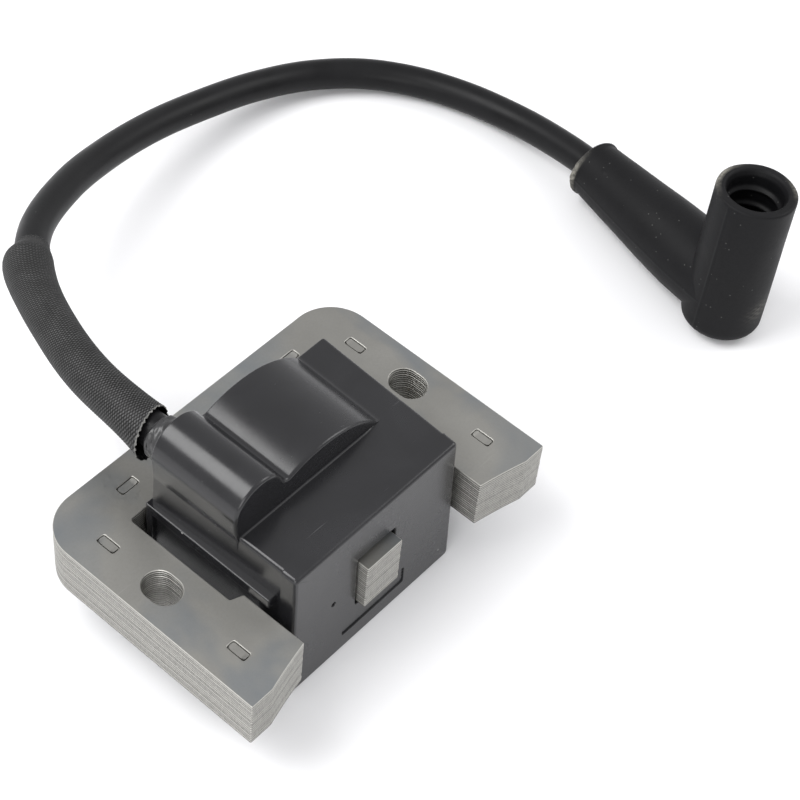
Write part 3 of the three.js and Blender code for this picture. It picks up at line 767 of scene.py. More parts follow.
def rubber_material(name, colour, rough_low, rough_high, dust, bump):
    """Rubber: dark and even, with a fine skin, a slow change of sheen and whitish dust. Thin
    flash, where the relief stored in the mesh is 1, is paler."""
    made, w, shader, place = new_material(name)
    shader.inputs["IOR"].default_value = 1.5
    shader.inputs["Specular IOR Level"].default_value = 0.17
    vector = place.outputs["Object"]
    blotch = w.group("Blotches", {"Vector": vector, "Scale": 90.0}).outputs[0]
    grain = w.group("Grain", {"Vector": vector, "Scale": 1300.0}).outputs[0]
    speck = w.group(
        "Specks", {"Vector": vector, "Scale": 1300.0, "Size": 0.20, "Share": dust}
    ).outputs[0]
    scuff = w.group("Scratches", {"Vector": vector, "Scale": 120.0, "Cover": dust}).outputs[0]
    thin = w.add("ShaderNodeAttribute", attribute_name="relief").outputs["Fac"]
    colour_out = w.mix(blotch, shade(colour, 0.75), shade(colour, 1.35))
    colour_out = w.mix(w.math("MULTIPLY", grain, 0.35), colour_out, shade(colour, 2.0))
    colour_out = w.mix(w.math("MULTIPLY", speck, 0.4), colour_out, (0.14, 0.14, 0.135, 1))
    colour_out = w.mix(w.math("MULTIPLY", scuff, 0.08), colour_out, (0.09, 0.09, 0.09, 1))
    ragged = w.math("MULTIPLY", thin, w.ramp(grain, 0.2, 0.7, 0.3, 1.0))
    colour_out = w.mix(ragged, colour_out, (0.26, 0.25, 0.22, 1))
    rough = w.ramp(blotch, 0.0, 1.0, rough_low, rough_high)
    rough = w.math("ADD", rough, w.math("MULTIPLY", speck, 0.3), clamp=True)
    relief = w.math("ADD", grain, w.math("MULTIPLY", speck, 0.8))
    wire(w, shader, colour_out, rough, relief, bump, 0.00005)
    return made


def braid_material(colour, yarns, filaments=5):
    """Braided yarn: painted shade, near black, between the yarns and the yarn's colour on top,
    after the relief stored in the mesh, with fine filaments along the sleeve, an uneven sheen
    and a pale frayed fringe."""
    made, w, shader, place = new_material("braided_yarn")
    shader.inputs["Specular IOR Level"].default_value = 0.3
    vector = place.outputs["Object"]
    relief = w.add("ShaderNodeAttribute", attribute_name="relief").outputs["Fac"]
    grain = w.group("Grain", {"Vector": vector, "Scale": 2200.0}).outputs[0]
    blotch = w.group("Blotches", {"Vector": vector, "Scale": 160.0}).outputs[0]
    top = w.mix(grain, shade(colour, 0.6), shade(colour, 4.5))
    top = w.mix(w.math("MULTIPLY", blotch, 0.5), top, shade(colour, 0.35))
    # painted shade: where the relief is low, between the yarns, the colour goes near black
    colour_out = w.mix(w.ramp(relief, 0.62, 0.98), (0.0015, 0.0015, 0.0015, 1), top)
    fringe = w.ramp(relief, 1.05, 1.4)
    colour_out = w.mix(w.math("MULTIPLY", fringe, grain), colour_out, (0.20, 0.195, 0.18, 1))
    rough = w.ramp(grain, 0.0, 1.0, 0.45, 0.7)
    strand = w.add("ShaderNodeSeparateXYZ", {"Vector": place.outputs["UV"]}).outputs[0]
    ribs = w.math("SINE", w.math("MULTIPLY", strand, TURN * yarns * filaments))
    height = w.math("ADD", w.math("MULTIPLY", ribs, 0.4), grain)
    wire(w, shader, colour_out, rough, height, 0.35, 0.00004)
    return made


def metal_material(name, colour, rough_low, rough_high, scale=60.0):
    """Bright sheet metal: drawn lines along the sheet and a patchy, slightly dulled tone."""
    made, w, shader, place = new_material(name, metallic=1.0)
    vector = place.outputs["Object"]
    blotch = w.group("Blotches", {"Vector": vector, "Scale": 150.0}).outputs[0]
    scratch = w.group("Scratches", {"Vector": vector, "Scale": scale, "Cover": 0.6}).outputs[0]
    colour_out = w.mix(blotch, shade(colour, 0.75), shade(colour, 1.05))
    rough = w.ramp(blotch, 0.0, 1.0, rough_low, rough_high)
    rough = w.math("ADD", rough, w.math("MULTIPLY", scratch, 0.15))
    wire(w, shader, colour_out, rough, scratch, 0.2, 0.00003)
    return made


def wound_wire_material(name, colour, pitch):
    """Enamelled wire wound round the coil: rows of round turns at the wire's pitch along Y,
    each row a little lighter or darker than the next, with painted shade in the grooves
    between the turns."""
    made, w, shader, place = new_material(name, metallic=0.8, roughness=0.3)
    along = w.add("ShaderNodeSeparateXYZ", {"Vector": place.outputs["Object"]}).outputs[1]
    turns = w.math("MULTIPLY", along, 1 / pitch)
    row = w.math("FLOOR", turns)
    own = w.add("ShaderNodeTexWhiteNoise", {"W": row}, noise_dimensions="1D").outputs["Value"]
    wave = w.math("ABSOLUTE", w.math("SINE", w.math("MULTIPLY", turns, math.pi)))
    grain = w.group("Grain", {"Vector": place.outputs["Object"], "Scale": 900.0}).outputs[0]
    tone = w.math("ADD", w.math("MULTIPLY", own, 0.5), w.math("MULTIPLY", grain, 0.5))
    colour_out = w.mix(tone, shade(colour, 0.7), shade(colour, 1.15))
    # painted shade: where wave is low, in the grooves between the turns, the colour goes dark
    colour_out = w.mix(w.ramp(wave, 0.0, 0.5, 0.7, 0.0), colour_out, (0.02, 0.008, 0.004, 1))
    wire(w, shader, colour_out, w.ramp(grain, 0, 1, 0.25, 0.42), wave, 0.8, pitch / 3)
    return made


def cast_material(name, colour, rough_low, rough_high, scale=250.0):
    """Cast or moulded filler: a soft slow relief, small pores darkened with painted shade and a
    slightly uneven tone.
    """
    made, w, shader, place = new_material(name)
    vector = place.outputs["Object"]
    blotch = w.group("Blotches", {"Vector": vector, "Scale": scale}).outputs[0]
    grain = w.group("Grain", {"Vector": vector, "Scale": scale * 5}).outputs[0]
    pore = w.group(
        "Specks", {"Vector": vector, "Scale": 700.0, "Size": 0.2, "Share": 0.06}
    ).outputs[0]
    colour_out = w.mix(blotch, shade(colour, 0.8), shade(colour, 1.2))
    colour_out = w.mix(w.math("MULTIPLY", grain, 0.2), colour_out, shade(colour, 1.5))
    # painted shade: the pores get 0.4 times the colour
    colour_out = w.mix(w.math("MULTIPLY", pore, 0.6), colour_out, shade(colour, 0.4))
    rough = w.ramp(grain, 0.0, 1.0, rough_low, rough_high)
    relief = w.math("SUBTRACT", blotch, w.math("MULTIPLY", pore, 0.5))
    relief = w.math("ADD", relief, w.math("MULTIPLY", grain, 0.15))
    wire(w, shader, colour_out, rough, relief, 0.3, 0.0001)
    return made


def board_material():
    """Circuit board: green mask over paler copper tracks that run in two directions."""
    made, w, shader, place = new_material("green_board", roughness=0.35)
    vector = place.outputs["Object"]
    cells = w.add(
        "ShaderNodeTexVoronoi",
        {"Vector": vector, "Scale": 420.0, "Randomness": 0.4},
        distance="CHEBYCHEV",
        feature="F1",
    )
    track = w.ramp(cells.outputs["Distance"], 0.30, 0.36)
    grain = w.group("Grain", {"Vector": vector, "Scale": 1200.0}).outputs[0]
    colour_out = w.mix(track, (0.035, 0.17, 0.07, 1), (0.015, 0.085, 0.035, 1))
    colour_out = w.mix(w.math("MULTIPLY", grain, 0.3), colour_out, (0.05, 0.2, 0.09, 1))
    wire(w, shader, colour_out, w.ramp(grain, 0, 1, 0.3, 0.45), track, 0.3, 0.00003)
    return made


def floor_material(colour):
    """Pale matte floor with the faintest mottling."""
    made, w, shader, place = new_material("pale_floor")
    blotch = w.group("Blotches", {"Vector": place.outputs["Object"], "Scale": 4.0}).outputs[0]
    colour_out = w.mix(blotch, shade(colour, 0.99), shade(colour, 1.0))
    wire(w, shader, colour_out, w.ramp(blotch, 0, 1, 0.85, 0.9))
    return made


def paint(piece, material):
    """Gives a piece one material over its whole surface."""
    piece.data.materials.clear()
    piece.data.materials.append(material)


def stand_in(piece, material, node, body="coil"):
    """Paints a piece and lets it stand for a frame node and on its body."""
    paint(piece, material)
    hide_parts(node)
    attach(piece, body)


# ------------------------------------------------------------------ lead, sleeve and seal


def boot_place():
    """The boot's frame as a 4 x 3 array in millimetres: along the arm to its collar, to the
    side, up the barrel to its mouth, and the elbow where arm and barrel cross."""
    arm = unit(np.array(SWIVEL["axis"], float))
    barrel = unit(np.array(MOUNTS["boot_mouth"]["axis"], float))
    side = unit(np.cross(barrel, arm))
    elbow = np.array(SWIVEL["pos_m"]) / MM - arm * ARM_LENGTH
    return np.array([arm, side, barrel, elbow])


def on_arm(distance):
    """The point of the arm's axis at a distance from the elbow."""
    place = boot_place()
    return place[3] + place[0] * distance


def lead_line():
    """The lead's centreline in millimetres, from the tower's bore to its stop in the boot."""
    into_boot = [on_arm(d) for d in (ARM_LENGTH, (ARM_LENGTH + LEAD_STOP) / 2, LEAD_STOP)]
    return centripetal(np.vstack([np.array(ROUTE) / MM, into_boot]))


def lead_shell():
    """The jacket: a slightly uneven round tube swept along the centreline, closed at both
    ends, with the points of its path."""
    curve = lead_line()
    rows, cols = 420, 40
    path = at(curve, np.linspace(0, measured(curve)[-1], rows))
    run = measured(path)[:, None]
    angle = np.arange(cols)[None] / cols * TURN
    uneven = 0.03 * np.sin(run / 9 + 2 * angle) * np.sin(run / 23)
    shell = Shell()
    start = shell.grid(swept(path, LEAD_RADIUS + uneven, cols), loop_cols=True)
    shell.end(start, cols)
    shell.end(start + (len(path) - 1) * cols, cols, reverse=True)
    return shell, path


def braid_relief(angle, run, yarns, pitch):
    """Height of a plain braid from 0 to 1. Two families of yarns wind in opposite directions,
    so their phases are yarns * angle / turn plus and minus run / pitch. Each yarn is a round
    ridge between whole phases, and it goes over and under the other family in turn."""
    a = yarns * angle / TURN + run / pitch
    b = yarns * angle / TURN - run / pitch
    over_a = 0.5 + 0.5 * np.sin(np.pi * (b + np.floor(a)))
    over_b = 0.5 - 0.5 * np.sin(np.pi * (a + np.floor(b)))
    ridge_a = np.abs(np.sin(np.pi * a)) ** 0.6
    ridge_b = np.abs(np.sin(np.pi * b)) ** 0.6
    return np.maximum(ridge_a * (0.25 + 0.75 * over_a), ridge_b * (0.25 + 0.75 * over_b))


def sleeve_skin(run, angle):
    """The sleeve's middle radius and its shift along the lead, over distance and angle. It
    swells on the outside of the bend near its far end before it closes on the lead there,
    and its open end flares and reaches further on the left, where it hangs off the lead."""
    length = SLEEVE_END - SLEEVE_START
    run, angle = np.asarray(run)[:, None], np.asarray(angle)[None]

    def around(middle, width):
        away = (angle - math.radians(middle) + np.pi) % TURN - np.pi
        return np.exp(-((away / width) ** 2))

    outer_side = around(180, 1.15)
    past = run - length + 5.4
    swell = 1.45 * np.exp(-((past / np.where(past < 0, 8.0, 4.2)) ** 2)) * outer_side
    flare = (0.25 + 1.15 * around(205, 1.2)) * np.exp(-run / 3.6)
    wave = 0.05 * np.sin(3 * angle + run / 6) + 0.04 * np.sin(2 * angle - run / 4)
    loose = 4.42 + 0.05 * np.sin(run / 5.1) + swell + flare + wave
    closing = smoothstep(run, length - 6.5 + 2.6 * outer_side, length - 0.2)
    tight = LEAD_RADIUS + 0.16
    reach = -(0.25 + 1.2 * np.cos(angle - math.radians(215))) * np.exp(-run / 4.0)
    return loose + (tight - loose) * closing**2, reach


def sleeve_shell(yarns, pitch):
    """The sleeve: a thin tube about the lead, its skin carrying the braid's relief on the
    outside, with a frayed fringe round the open end, and an inner skin 0.32 mm below it."""
    rows, cols = 470, 168
    length = SLEEVE_END - SLEEVE_START
    run = np.linspace(0, length, rows)
    curve = lead_line()
    angle = np.arange(cols) / cols * TURN
    relief = braid_relief(angle[None], run[:, None], yarns, pitch)
    frayed = 0.12 * np.sin(yarns * angle) + 0.09 * np.sin(1.5 * yarns * angle + 1.3)
    shell = Shell()
    skins = []
    for inner, where in ((False, run), (True, np.linspace(0, length, 24))):
        path = at(curve, SLEEVE_START + where)
        radius, reach = sleeve_skin(where, angle)
        radius = radius - 0.32 if inner else radius + (relief - 1) * 0.17
        loose = 0.15 * (1 - smoothstep(where, 0, 30)) + 0.04
        tube = swept(path, radius, cols, loose * (1 - smoothstep(where, length - 8, length)))
        tangent = unit(np.gradient(path, axis=0))
        ragged = reach + frayed[None] * np.exp(-where / 0.4)[:, None]
        tube = tube + tangent[:, None] * ragged[..., None]
        skins.append(tube[::-1] if inner else tube)
    relief[:3] = 1.5
    height = np.vstack([relief, np.zeros((24, cols))])
    shell.grid(np.vstack(skins), True, True, height)
    return shell


def seal_shell():
    """The sealant collar: a cone turned about the bore, whose radius wanders by a sum of
    sines over angle and length as sealant does when it is wiped on by hand, with a thin
    squeezed-out edge against the tower. The edge has relief 1."""
    low, high = node_box("lead_seal")
    length = high[1] - low[1]
    place = np.array([(1, 0, 0), (0, 0, 1), (0, 1, 0), (TOWER_X, low[1], BORE_Z)], float)
    t = np.linspace(0, 1, 34)
    profile = np.column_stack([4.55 - 0.35 * t - 0.35 * smoothstep(t, 0.88, 1.0), t * length])
    profile = np.vstack([profile, (3.62, length), (3.62, 0)])
    cols = 120
    angle = np.arange(cols)[None] / cols * TURN
    points = turned(profile, place, cols)
    t = t[:, None]
    wander = 0.09 * np.sin(2 * angle + 9 * t) + 0.07 * np.sin(5 * angle - 13 * t + 1)
    wander = wander + 0.05 * np.sin(9 * angle + 21 * t) + 0.10 * np.sin(7 * t + angle)
    edge = np.exp(-((t / 0.05) ** 2)) * (0.16 + 0.10 * np.sin(7 * angle) + 0.06 * np.sin(17 * angle))
    radial = np.stack([np.cos(angle[0]), np.zeros(cols), np.sin(angle[0])], -1)
    points[: len(t)] += (wander * smoothstep(t, 0.0, 0.15) + edge)[..., None] * radial[None]
    height = np.zeros(points.shape[:2])
    height[:2] = 1.0
    shell = Shell()
    shell.grid(points, loop_rows=True, loop_cols=True, height=height)
    return shell


# ------------------------------------------------------------------ armature


def sheet_outline():
    """One sheet of the armature: an E whose back corners are round and whose pole faces lie
    on one circle, centred 129 mm in front of the middle leg's face."""
    half, back, tip = ARMATURE_HIGH[0], ARMATURE_HIGH[1], ARMATURE_LOW[1]
    leg, face, yoke = 4.7, -22.8, 15.8
    notch, notch_front, inner = 26.8, -9.4, 24.2
    radius = 129.0
    end_x = math.sqrt(radius**2 - (tip - (face - radius)) ** 2)
    x = np.linspace(inner, end_x, 7)
    pole = np.stack([x, face - radius + np.sqrt(radius**2 - x**2)], -1)
    right = [(leg, face), (leg, yoke), (notch, yoke), (notch, notch_front)]
    right_radii = [0.25, 0.5, 0.8, 0.4]
    right += [(inner, notch_front - 1.0), *pole, (half, tip), (half, back)]
    right_radii += [0.4, 0.25, 0, 0, 0, 0, 0, 0, 0.3, 0]
    left = [(-x, y) for x, y in right[::-1]]
    body = rounded(right + left, right_radii + right_radii[::-1])
    corner = 9.0
    back_right = arc((half - corner, back - corner), corner, 0, 90, 30)
    back_left = arc((corner - half, back - corner), corner, 90, 180, 30)
    outline = []
    for point in body:
        if np.allclose(point, (half, back)):
            outline.append(back_right)
        elif np.allclose(point, (-half, back)):
            outline.append(back_left)
        else:
            outline.append(point[None])
    return np.vstack(outline)


def bolt_slot(side):
    """A bolt slot: two half circles and the straight run between them, wound clockwise."""
    x, y, radius, run = side * SLOT_X, 1.0, 3.2, 0.85
    upper = arc((x, y + run), radius, 0, 180, 28)
    lower = arc((x, y - run), radius, 180, 360, 28)
    return np.vstack([upper, lower])[::-1]


INTERLOCKS = [
    (side * x, y, half_x, half_y)
    for side in (-1, 1)
    for x, y, half_x, half_y in (
        (SLOT_X, 14.7, 1.0, 2.15),
        (SLOT_X, -17.9, 1.0, 2.15),
        (21.7, 21.7, 2.15, 1.0),
    )
]


def interlock_window(x, y, half_x, half_y):
    """The rounded opening of one interlock, wound clockwise as holes are."""
    corners = [(-half_x, -half_y), (half_x, -half_y), (half_x, half_y), (-half_x, half_y)]
    return rounded(np.array(corners) + (x, y), 0.42, 5)[::-1]


def punched_sheet(name, outlines, low, high, chamfer):
    """A flat curve filled between its outlines and raised from low to high, with a chamfer
    round every edge, turned into one closed mesh."""
    curve = bpy.data.curves.new(name, "CURVE")
    curve.dimensions = "2D"
    curve.fill_mode = "BOTH"
    curve.extrude = ((high - low) / 2 - chamfer) * MM
    curve.bevel_depth = chamfer * MM
    curve.bevel_resolution = 0
    curve.offset = -chamfer * MM
    for outline in outlines:
        spline = curve.splines.new("POLY")
        spline.points.add(len(outline) - 1)
        places = np.ones((len(outline), 4))
        places[:, :2] = outline * MM
        places[:, 2] = 0
        spline.points.foreach_set("co", places.ravel())
        spline.use_cyclic_u = True
    holder = show(name, curve)
    graph = bpy.context.evaluated_depsgraph_get()
    mesh = bpy.data.meshes.new_from_object(holder.evaluated_get(graph))
    bpy.data.objects.remove(holder)
    mesh.transform(Matrix.Translation((0, 0, (low + high) / 2 * MM)))
    whole = bmesh.new()
    whole.from_mesh(mesh)
    bmesh.ops.remove_doubles(whole, verts=whole.verts, dist=2e-7)
    bmesh.ops.recalc_face_normals(whole, faces=whole.faces)
    whole.to_mesh(mesh)
    whole.free()
    smooth(mesh, 25)
    return mesh


def dent_shell(x, y, half_x, half_y, low, high):
    """The pressed-down tongue of one interlock: its top sinks along a smooth step from each
    end of its long way, its corners are drawn in, and its underside is flat."""
    rows, cols = 25, 11
    u, v = np.meshgrid(np.linspace(-1, 1, cols), np.linspace(-1, 1, rows))
    long_way = v if half_y > half_x else u
    sink = 0.05 + 0.14 * smoothstep(1 - np.abs(long_way), 0.0, 0.45)
    gap = 0.19
    pull = 1 - 0.13 * (u * v) ** 4
    top = np.stack(
        [x + u * pull * (half_x - gap), y + v * pull * (half_y - gap), high - sink], -1
    )
    bottom = top.copy()
    bottom[..., 2] = low + 0.05
    shell = Shell()
    shell.grid(top)
    shell.grid(bottom[::-1])
    for edge in (top[0], top[:, -1], top[-1, ::-1], top[::-1, 0]):
        wall = edge.copy()
        wall[:, 2] = low + 0.05
        shell.grid(np.stack([edge, wall]))
    return shell


def sheet_mesh(name, low, high, chamfer):
    """A sheet of the stack. The top one has its pressed tongues, the bottom one their windows."""
    outlines = [sheet_outline(), bolt_slot(-1), bolt_slot(1)]
    if name in (SHEETS[0], SHEETS[-1]):
        outlines += [interlock_window(*where) for where in INTERLOCKS]
    mesh = punched_sheet(name + "_look", outlines, low, high, chamfer)
    if name != SHEETS[-1]:
        return mesh
    whole = bmesh.new()
    whole.from_mesh(mesh)
    for where in INTERLOCKS:
        whole.from_mesh(dent_shell(*where, low, high).mesh("tongue"))
    whole.to_mesh(mesh)
    whole.free()
    smooth(mesh, 25)
    return mesh


# ------------------------------------------------------------------ housing


def side_at(z, step=0.0):
    """X of the right wall at a height, stood back by a step."""
    return HALF_TOP + (TOP - z) * SIDE_DRAFT - step


def front_at(z):
    """Y of the front at a height."""
    return FRONT_TOP - np.maximum(TOP - z, 0) * DRAFT


def back_at(z):
    """Y of the back at a height."""
    return BACK_TOP + np.maximum(TOP - z, 0) * DRAFT


def fillet_between(c0, r0, c1, r1, radius, above):
    """Centre of the circle of a radius that touches two others from outside: it stands off
    each centre by the sum of the radii, and above picks the higher of the two crossings."""
    c0, c1 = np.array(c0), np.array(c1)
    a, b = r0 + radius, r1 + radius
    gap = np.linalg.norm(c1 - c0)
    along = (a**2 - b**2 + gap**2) / (2 * gap)
    off = math.sqrt(max(a**2 - along**2, 0))
    way = (c1 - c0) / gap
    square = np.array([-way[1], way[0]])
    found = [c0 + way * along + square * off, c0 + way * along - square * off]
    return max(found, key=lambda c: c[1]) if above else min(found, key=lambda c: c[1])


def heading(start, end):
    """The direction from one point to another, in degrees."""
    across, up = end - start
    return math.degrees(math.atan2(up, across))


def section(y, step, crowned):
    """The housing's closed X-Z outline at a depth, counterclockwise, with the same number of
    points with and without its crown of hump and tower, so that one can be joined to the
    other. Walls, roof and hump have grown there by BACK_DRAFT * (y - front), less a step."""
    low_r, top_r = 1.2, 0.9
    foot_r, groove_r = 2.0, 1.5
    grown = (y - FRONT_TOP) * BACK_DRAFT
    top, hump_radius = TOP + grown, HUMP_RADIUS + grown
    right_low = side_at(low_r, step - grown)
    right_top = side_at(TOP - top_r, step - grown)
    hump, tower = np.array((HUMP_X, HUMP_Z)), np.array((TOWER_X, TOWER_Z))
    foot_rise = top + foot_r - HUMP_Z
    foot = np.array((HUMP_X + math.sqrt((hump_radius + foot_r) ** 2 - foot_rise**2), top + foot_r))
    groove = fillet_between(hump, hump_radius, tower, TOWER_RADIUS, groove_r, True)
    hump_right, hump_left = heading(hump, foot), heading(hump, groove)
    groove_start, groove_end = heading(groove, hump), heading(groove, tower)
    tower_right = heading(tower, groove)
    corner = [
        arc((right_low - low_r, low_r), low_r, -90, 0, 8),
        line((right_low, low_r), (right_top, top - top_r), 12)[1:],
        arc((right_top - top_r, top - top_r), top_r, 0, 90, 9),
        line((right_top - top_r, top), (foot[0], top), 9)[1:],
    ]
    counts = (10, 60, 10, 44, 14)
    if crowned:
        left_start = (-right_top - 0.02, top - 1.5)
        shoulder = (TOWER_X - TOWER_RADIUS + 0.25, 35.8)
        crown = [
            arc(foot, foot_r, 270, hump_right + 180, counts[0], last=False),
            arc(hump, hump_radius, hump_right, hump_left, counts[1], last=False),
            arc(groove, groove_r, groove_start, groove_end, counts[2], last=False),
            arc(tower, TOWER_RADIUS, tower_right, 180, counts[3], last=False),
            line((TOWER_X - TOWER_RADIUS, TOWER_Z), shoulder, 8),
            line(shoulder, left_start, counts[4] - 8),
        ]
    else:
        left_start = (-right_top, top - top_r)
        crown = [
            line((foot[0], top), (top_r - right_top, top), sum(counts[:4])),
            arc((top_r - right_top, top - top_r), top_r, 90, 180, counts[4], last=False),
        ]
    left = [
        line(left_start, (-right_low, low_r), 12),
        arc((low_r - right_low, low_r), low_r, 180, 270, 8),
        line((low_r - right_low, 0), (right_low - low_r, 0), 14)[1:],
    ]
    return np.vstack(corner + crown + left)


def housing_body(rounding):
    """The outside of the housing as rows of its outline from front to back: the front edge's
    rounding, the front plate, its step down to the walls, the crown's front face between a
    hollow fillet at its foot and a rounded rim, and the back edge's rounding."""
    rows = []

    def row(outline, y):
        rows.append(np.stack([outline[:, 0], np.broadcast_to(y, len(outline)), outline[:, 1]], -1))

    front = section(FRONT_TOP, 0.0, False)
    face = front - outward(front) * rounding
    middle = np.array((0.0, 17.8))
    for share in (0.05, 0.2, 0.4, 0.6, 0.8):
        ring = middle + (face - middle) * share
        row(ring, front_at(ring[:, 1]))
    for angle in np.radians(np.linspace(0, 90, 7)):
        drawn_in = front - outward(front) * rounding * (1 - math.sin(angle))
        row(drawn_in, front_at(drawn_in[:, 1]) + rounding * (1 - math.cos(angle)))
    plate = section(PLATE_BACK, 0.0, False)
    row(plate, PLATE_BACK - 0.30)
    wall = section(PLATE_BACK, PLATE_STEP, False)
    for t in (0.15, 0.5, 0.85):
        eased = smoothstep(t, 0, 1)
        row(plate * (1 - eased) + wall * eased, PLATE_BACK - 0.15 + 0.25 * (t - 0.5))
    row(wall, PLATE_BACK + 0.05)

    rim, hollow = 0.7, 0.45
    wall = section(CROWN_FRONT, PLATE_STEP, False)
    crowned = section(CROWN_FRONT, PLATE_STEP, True)
    reach = np.linalg.norm(crowned - wall, axis=1, keepdims=True)
    lifted = smoothstep(reach, 0.2, 3.0)
    face_end = crowned - outward(crowned) * rim * lifted
    way = face_end - wall
    length = np.maximum(np.linalg.norm(way, axis=1, keepdims=True), 1e-6)
    for angle in np.radians(np.linspace(0, 90, 6)):
        rise = np.minimum(hollow * (1 - np.cos(angle)) / length, 0.4)
        row(wall + way * rise * lifted, CROWN_FRONT - hollow * (1 - math.sin(angle)))
    for t in (0.25, 0.5, 0.75):
        start = np.minimum(hollow / length, 0.4) * lifted
        row(wall + way * (start + (1 - start) * t), CROWN_FRONT)
    for angle in np.radians(np.linspace(0, 90, 7)):
        drawn_in = crowned - outward(crowned) * rim * lifted * (1 - math.sin(angle))
        row(drawn_in, CROWN_FRONT + rim * (1 - math.cos(angle)))
    for y in (-2.0, 4.0, 10.0):
        row(section(y, PLATE_STEP, True), y)
    edge = 0.4
    crowned = section(BACK_TOP, PLATE_STEP, True)
    for angle in np.radians(np.linspace(90, 0, 5)):
        drawn_in = crowned - outward(crowned) * edge * (1 - math.sin(angle))
        row(drawn_in, back_at(drawn_in[:, 1]) - edge * (1 - math.cos(angle)))
    centre = np.array((-2.0, 24.0))
    last = rows[-1][:, [0, 2]]
    for share in (0.85, 0.65, 0.45, 0.25, 0.1):
        ring = centre + (last - centre) * share
        row(ring, back_at(ring[:, 1]))
    shell = Shell()
    start = shell.grid(np.array(rows), loop_cols=True)
    count = len(front)
    shell.end(start, count, reverse=True)
    shell.end(start + (len(rows) - 1) * count, count)
    return shell


def box_outline(x0, x1, z0, z1, radius, count=5):
    """A rounded rectangle, counterclockwise."""
    return rounded([(x0, z0), (x1, z0), (x1, z1), (x0, z1)], radius, count)


def flared_tool(shell, outline, front, back, flare, ends=(True, True)):
    """A cutter along Y that widens by a flare where it passes the front or the back face, so
    that the edge it leaves is broken. The widening follows a quarter circle in two steps and
    starts a little outside the face, so that no point of the cutter lies on it."""
    normal = outward(outline)
    rows = []
    outside, clear = -2.0, -0.04
    turns = np.radians((45, 90))
    for end, inward, open_ in ((front, 1, ends[0]), (back, -1, ends[1])):
        extra = [(0.0, 0.0)]
        if open_:
            extra = [(flare, outside), (flare, clear)]
            extra += [(flare * (1 - math.sin(a)), flare * (1 - math.cos(a))) for a in turns]
        for wider, deeper in extra if inward > 0 else extra[::-1]:
            points = outline + normal * wider
            y = end(points[:, 1]) if callable(end) else np.full(len(points), float(end))
            rows.append(np.stack([points[:, 0], y + inward * deeper, points[:, 1]], -1))
    shell.rod(rows)


def cavity_tool():
    """The room inside the walls: a block with the same draft, from below the rim up."""
    rows = []
    for z, inset in ((-1.0, WALL), (TOP - WALL - 0.6, WALL), (TOP - WALL, WALL + 0.6)):
        side = side_at(z, inset)
        front, back = front_at(z) + inset, back_at(z) - inset
        corners = rounded([(-side, front), (side, front), (side, back), (-side, back)], 0.8, 4)
        rows.append(np.column_stack([corners, np.full(len(corners), z)]))
    return Shell().rod(rows).piece("cavity_tool")


def hump_tool():
    """The room under the hump for the electronics."""
    radius = HUMP_RADIUS - WALL
    foot = TOP - WALL - 0.8
    right = math.degrees(math.asin((foot - HUMP_Z) / radius))
    top = arc((HUMP_X, HUMP_Z), radius, right, 118, 28)
    outline = np.vstack([top, [(top[-1][0], foot)]])
    shell = Shell()
    prism(shell, outline, CROWN_FRONT + WALL, BACK_TOP - WALL)
    return shell.piece("hump_tool")


def housing_mesh(rounding):
    """The body with its side lips and ribs joined on, and its cavity, the opening for the
    armature's leg, the lead's bore, the panel, the pit, the two terminal slots and the port
    under the tower cut out."""
    body = housing_body(rounding).piece("coil_case", sharp=26)
    lips = Shell()
    for side in (-1, 1):
        x0, x1 = sorted((side * (HALF_TOP - 0.4), side * HOUSING_HIGH[0]))
        prism(lips, box_outline(x0, x1, LIP_LOW, LIP_HIGH, 0.35), LIP_FRONT, LIP_BACK, 0.3)
    combine(body, lips.piece("lips"), "UNION")
    ribs = Shell()
    for side in (-1, 1):
        x0, x1 = sorted((side * (HALF_TOP - 0.4), side * (HOUSING_HIGH[0] - 0.03)))
        prism(ribs, box_outline(x0, x1, RIB_LOW, RIB_HIGH, 0.35), RIB_FRONT, RIB_BACK, 0.25)
    combine(body, ribs.piece("ribs"), "UNION")
    combine(body, cavity_tool(), "DIFFERENCE")
    combine(body, hump_tool(), "DIFFERENCE")
    cuts = Shell()
    flared_tool(cuts, box_outline(*LEG_OPENING, 0.5), front_at, back_at, 0.3)
    combine(body, cuts.piece("leg_tool"), "DIFFERENCE")
    cuts = Shell()
    panel, pit = box_outline(*PANEL, 0.5), arc(PIT, PIT_RADIUS, 0, 360, 20, False)
    bore = arc((TOWER_X, BORE_Z), BORE_RADIUS, 0, 360, 48, False)
    from_front, from_back = (True, False), (False, True)
    flared_tool(cuts, panel, front_at, lambda z: front_at(z) + PANEL_DEPTH, 0.12, from_front)
    flared_tool(cuts, pit, front_at, lambda z: front_at(z) + PIT_DEPTH, 0.15, from_front)
    flared_tool(cuts, bore, BORE_END, BACK_TOP, 0.35, from_back)
    earth = box_outline(*EARTH_SLOT, 0.2, 3)
    flared_tool(cuts, earth, EARTH_SLOT_FRONT, back_at, 0.1, from_back)
    combine(body, cuts.piece("openings_tool"), "DIFFERENCE")
    tab = box_outline(*TAB_SLOT, 0.25, 4)
    rows = [np.column_stack([np.full(len(tab), x), tab]) for x in (TAB_SLOT_FROM, TAB_SLOT_TO)]
    combine(body, Shell().rod(rows).piece("tab_tool"), "DIFFERENCE")
    port = Shell()
    prism(port, box_outline(*TERMINAL_PORT, 0.5), PORT_FRONT, PORT_BACK)
    combine(body, port.piece("port_tool"), "DIFFERENCE")
    smooth(body.data, 20)
    return body


# ------------------------------------------------------------------ boot


def ridge(angle, middle, width):
    """1 at an angle and falling to 0 over a width, as exp(-(distance / width)^2), round the
    turn."""
    away = (angle - middle + np.pi) % TURN - np.pi
    return np.exp(-((away / width) ** 2))


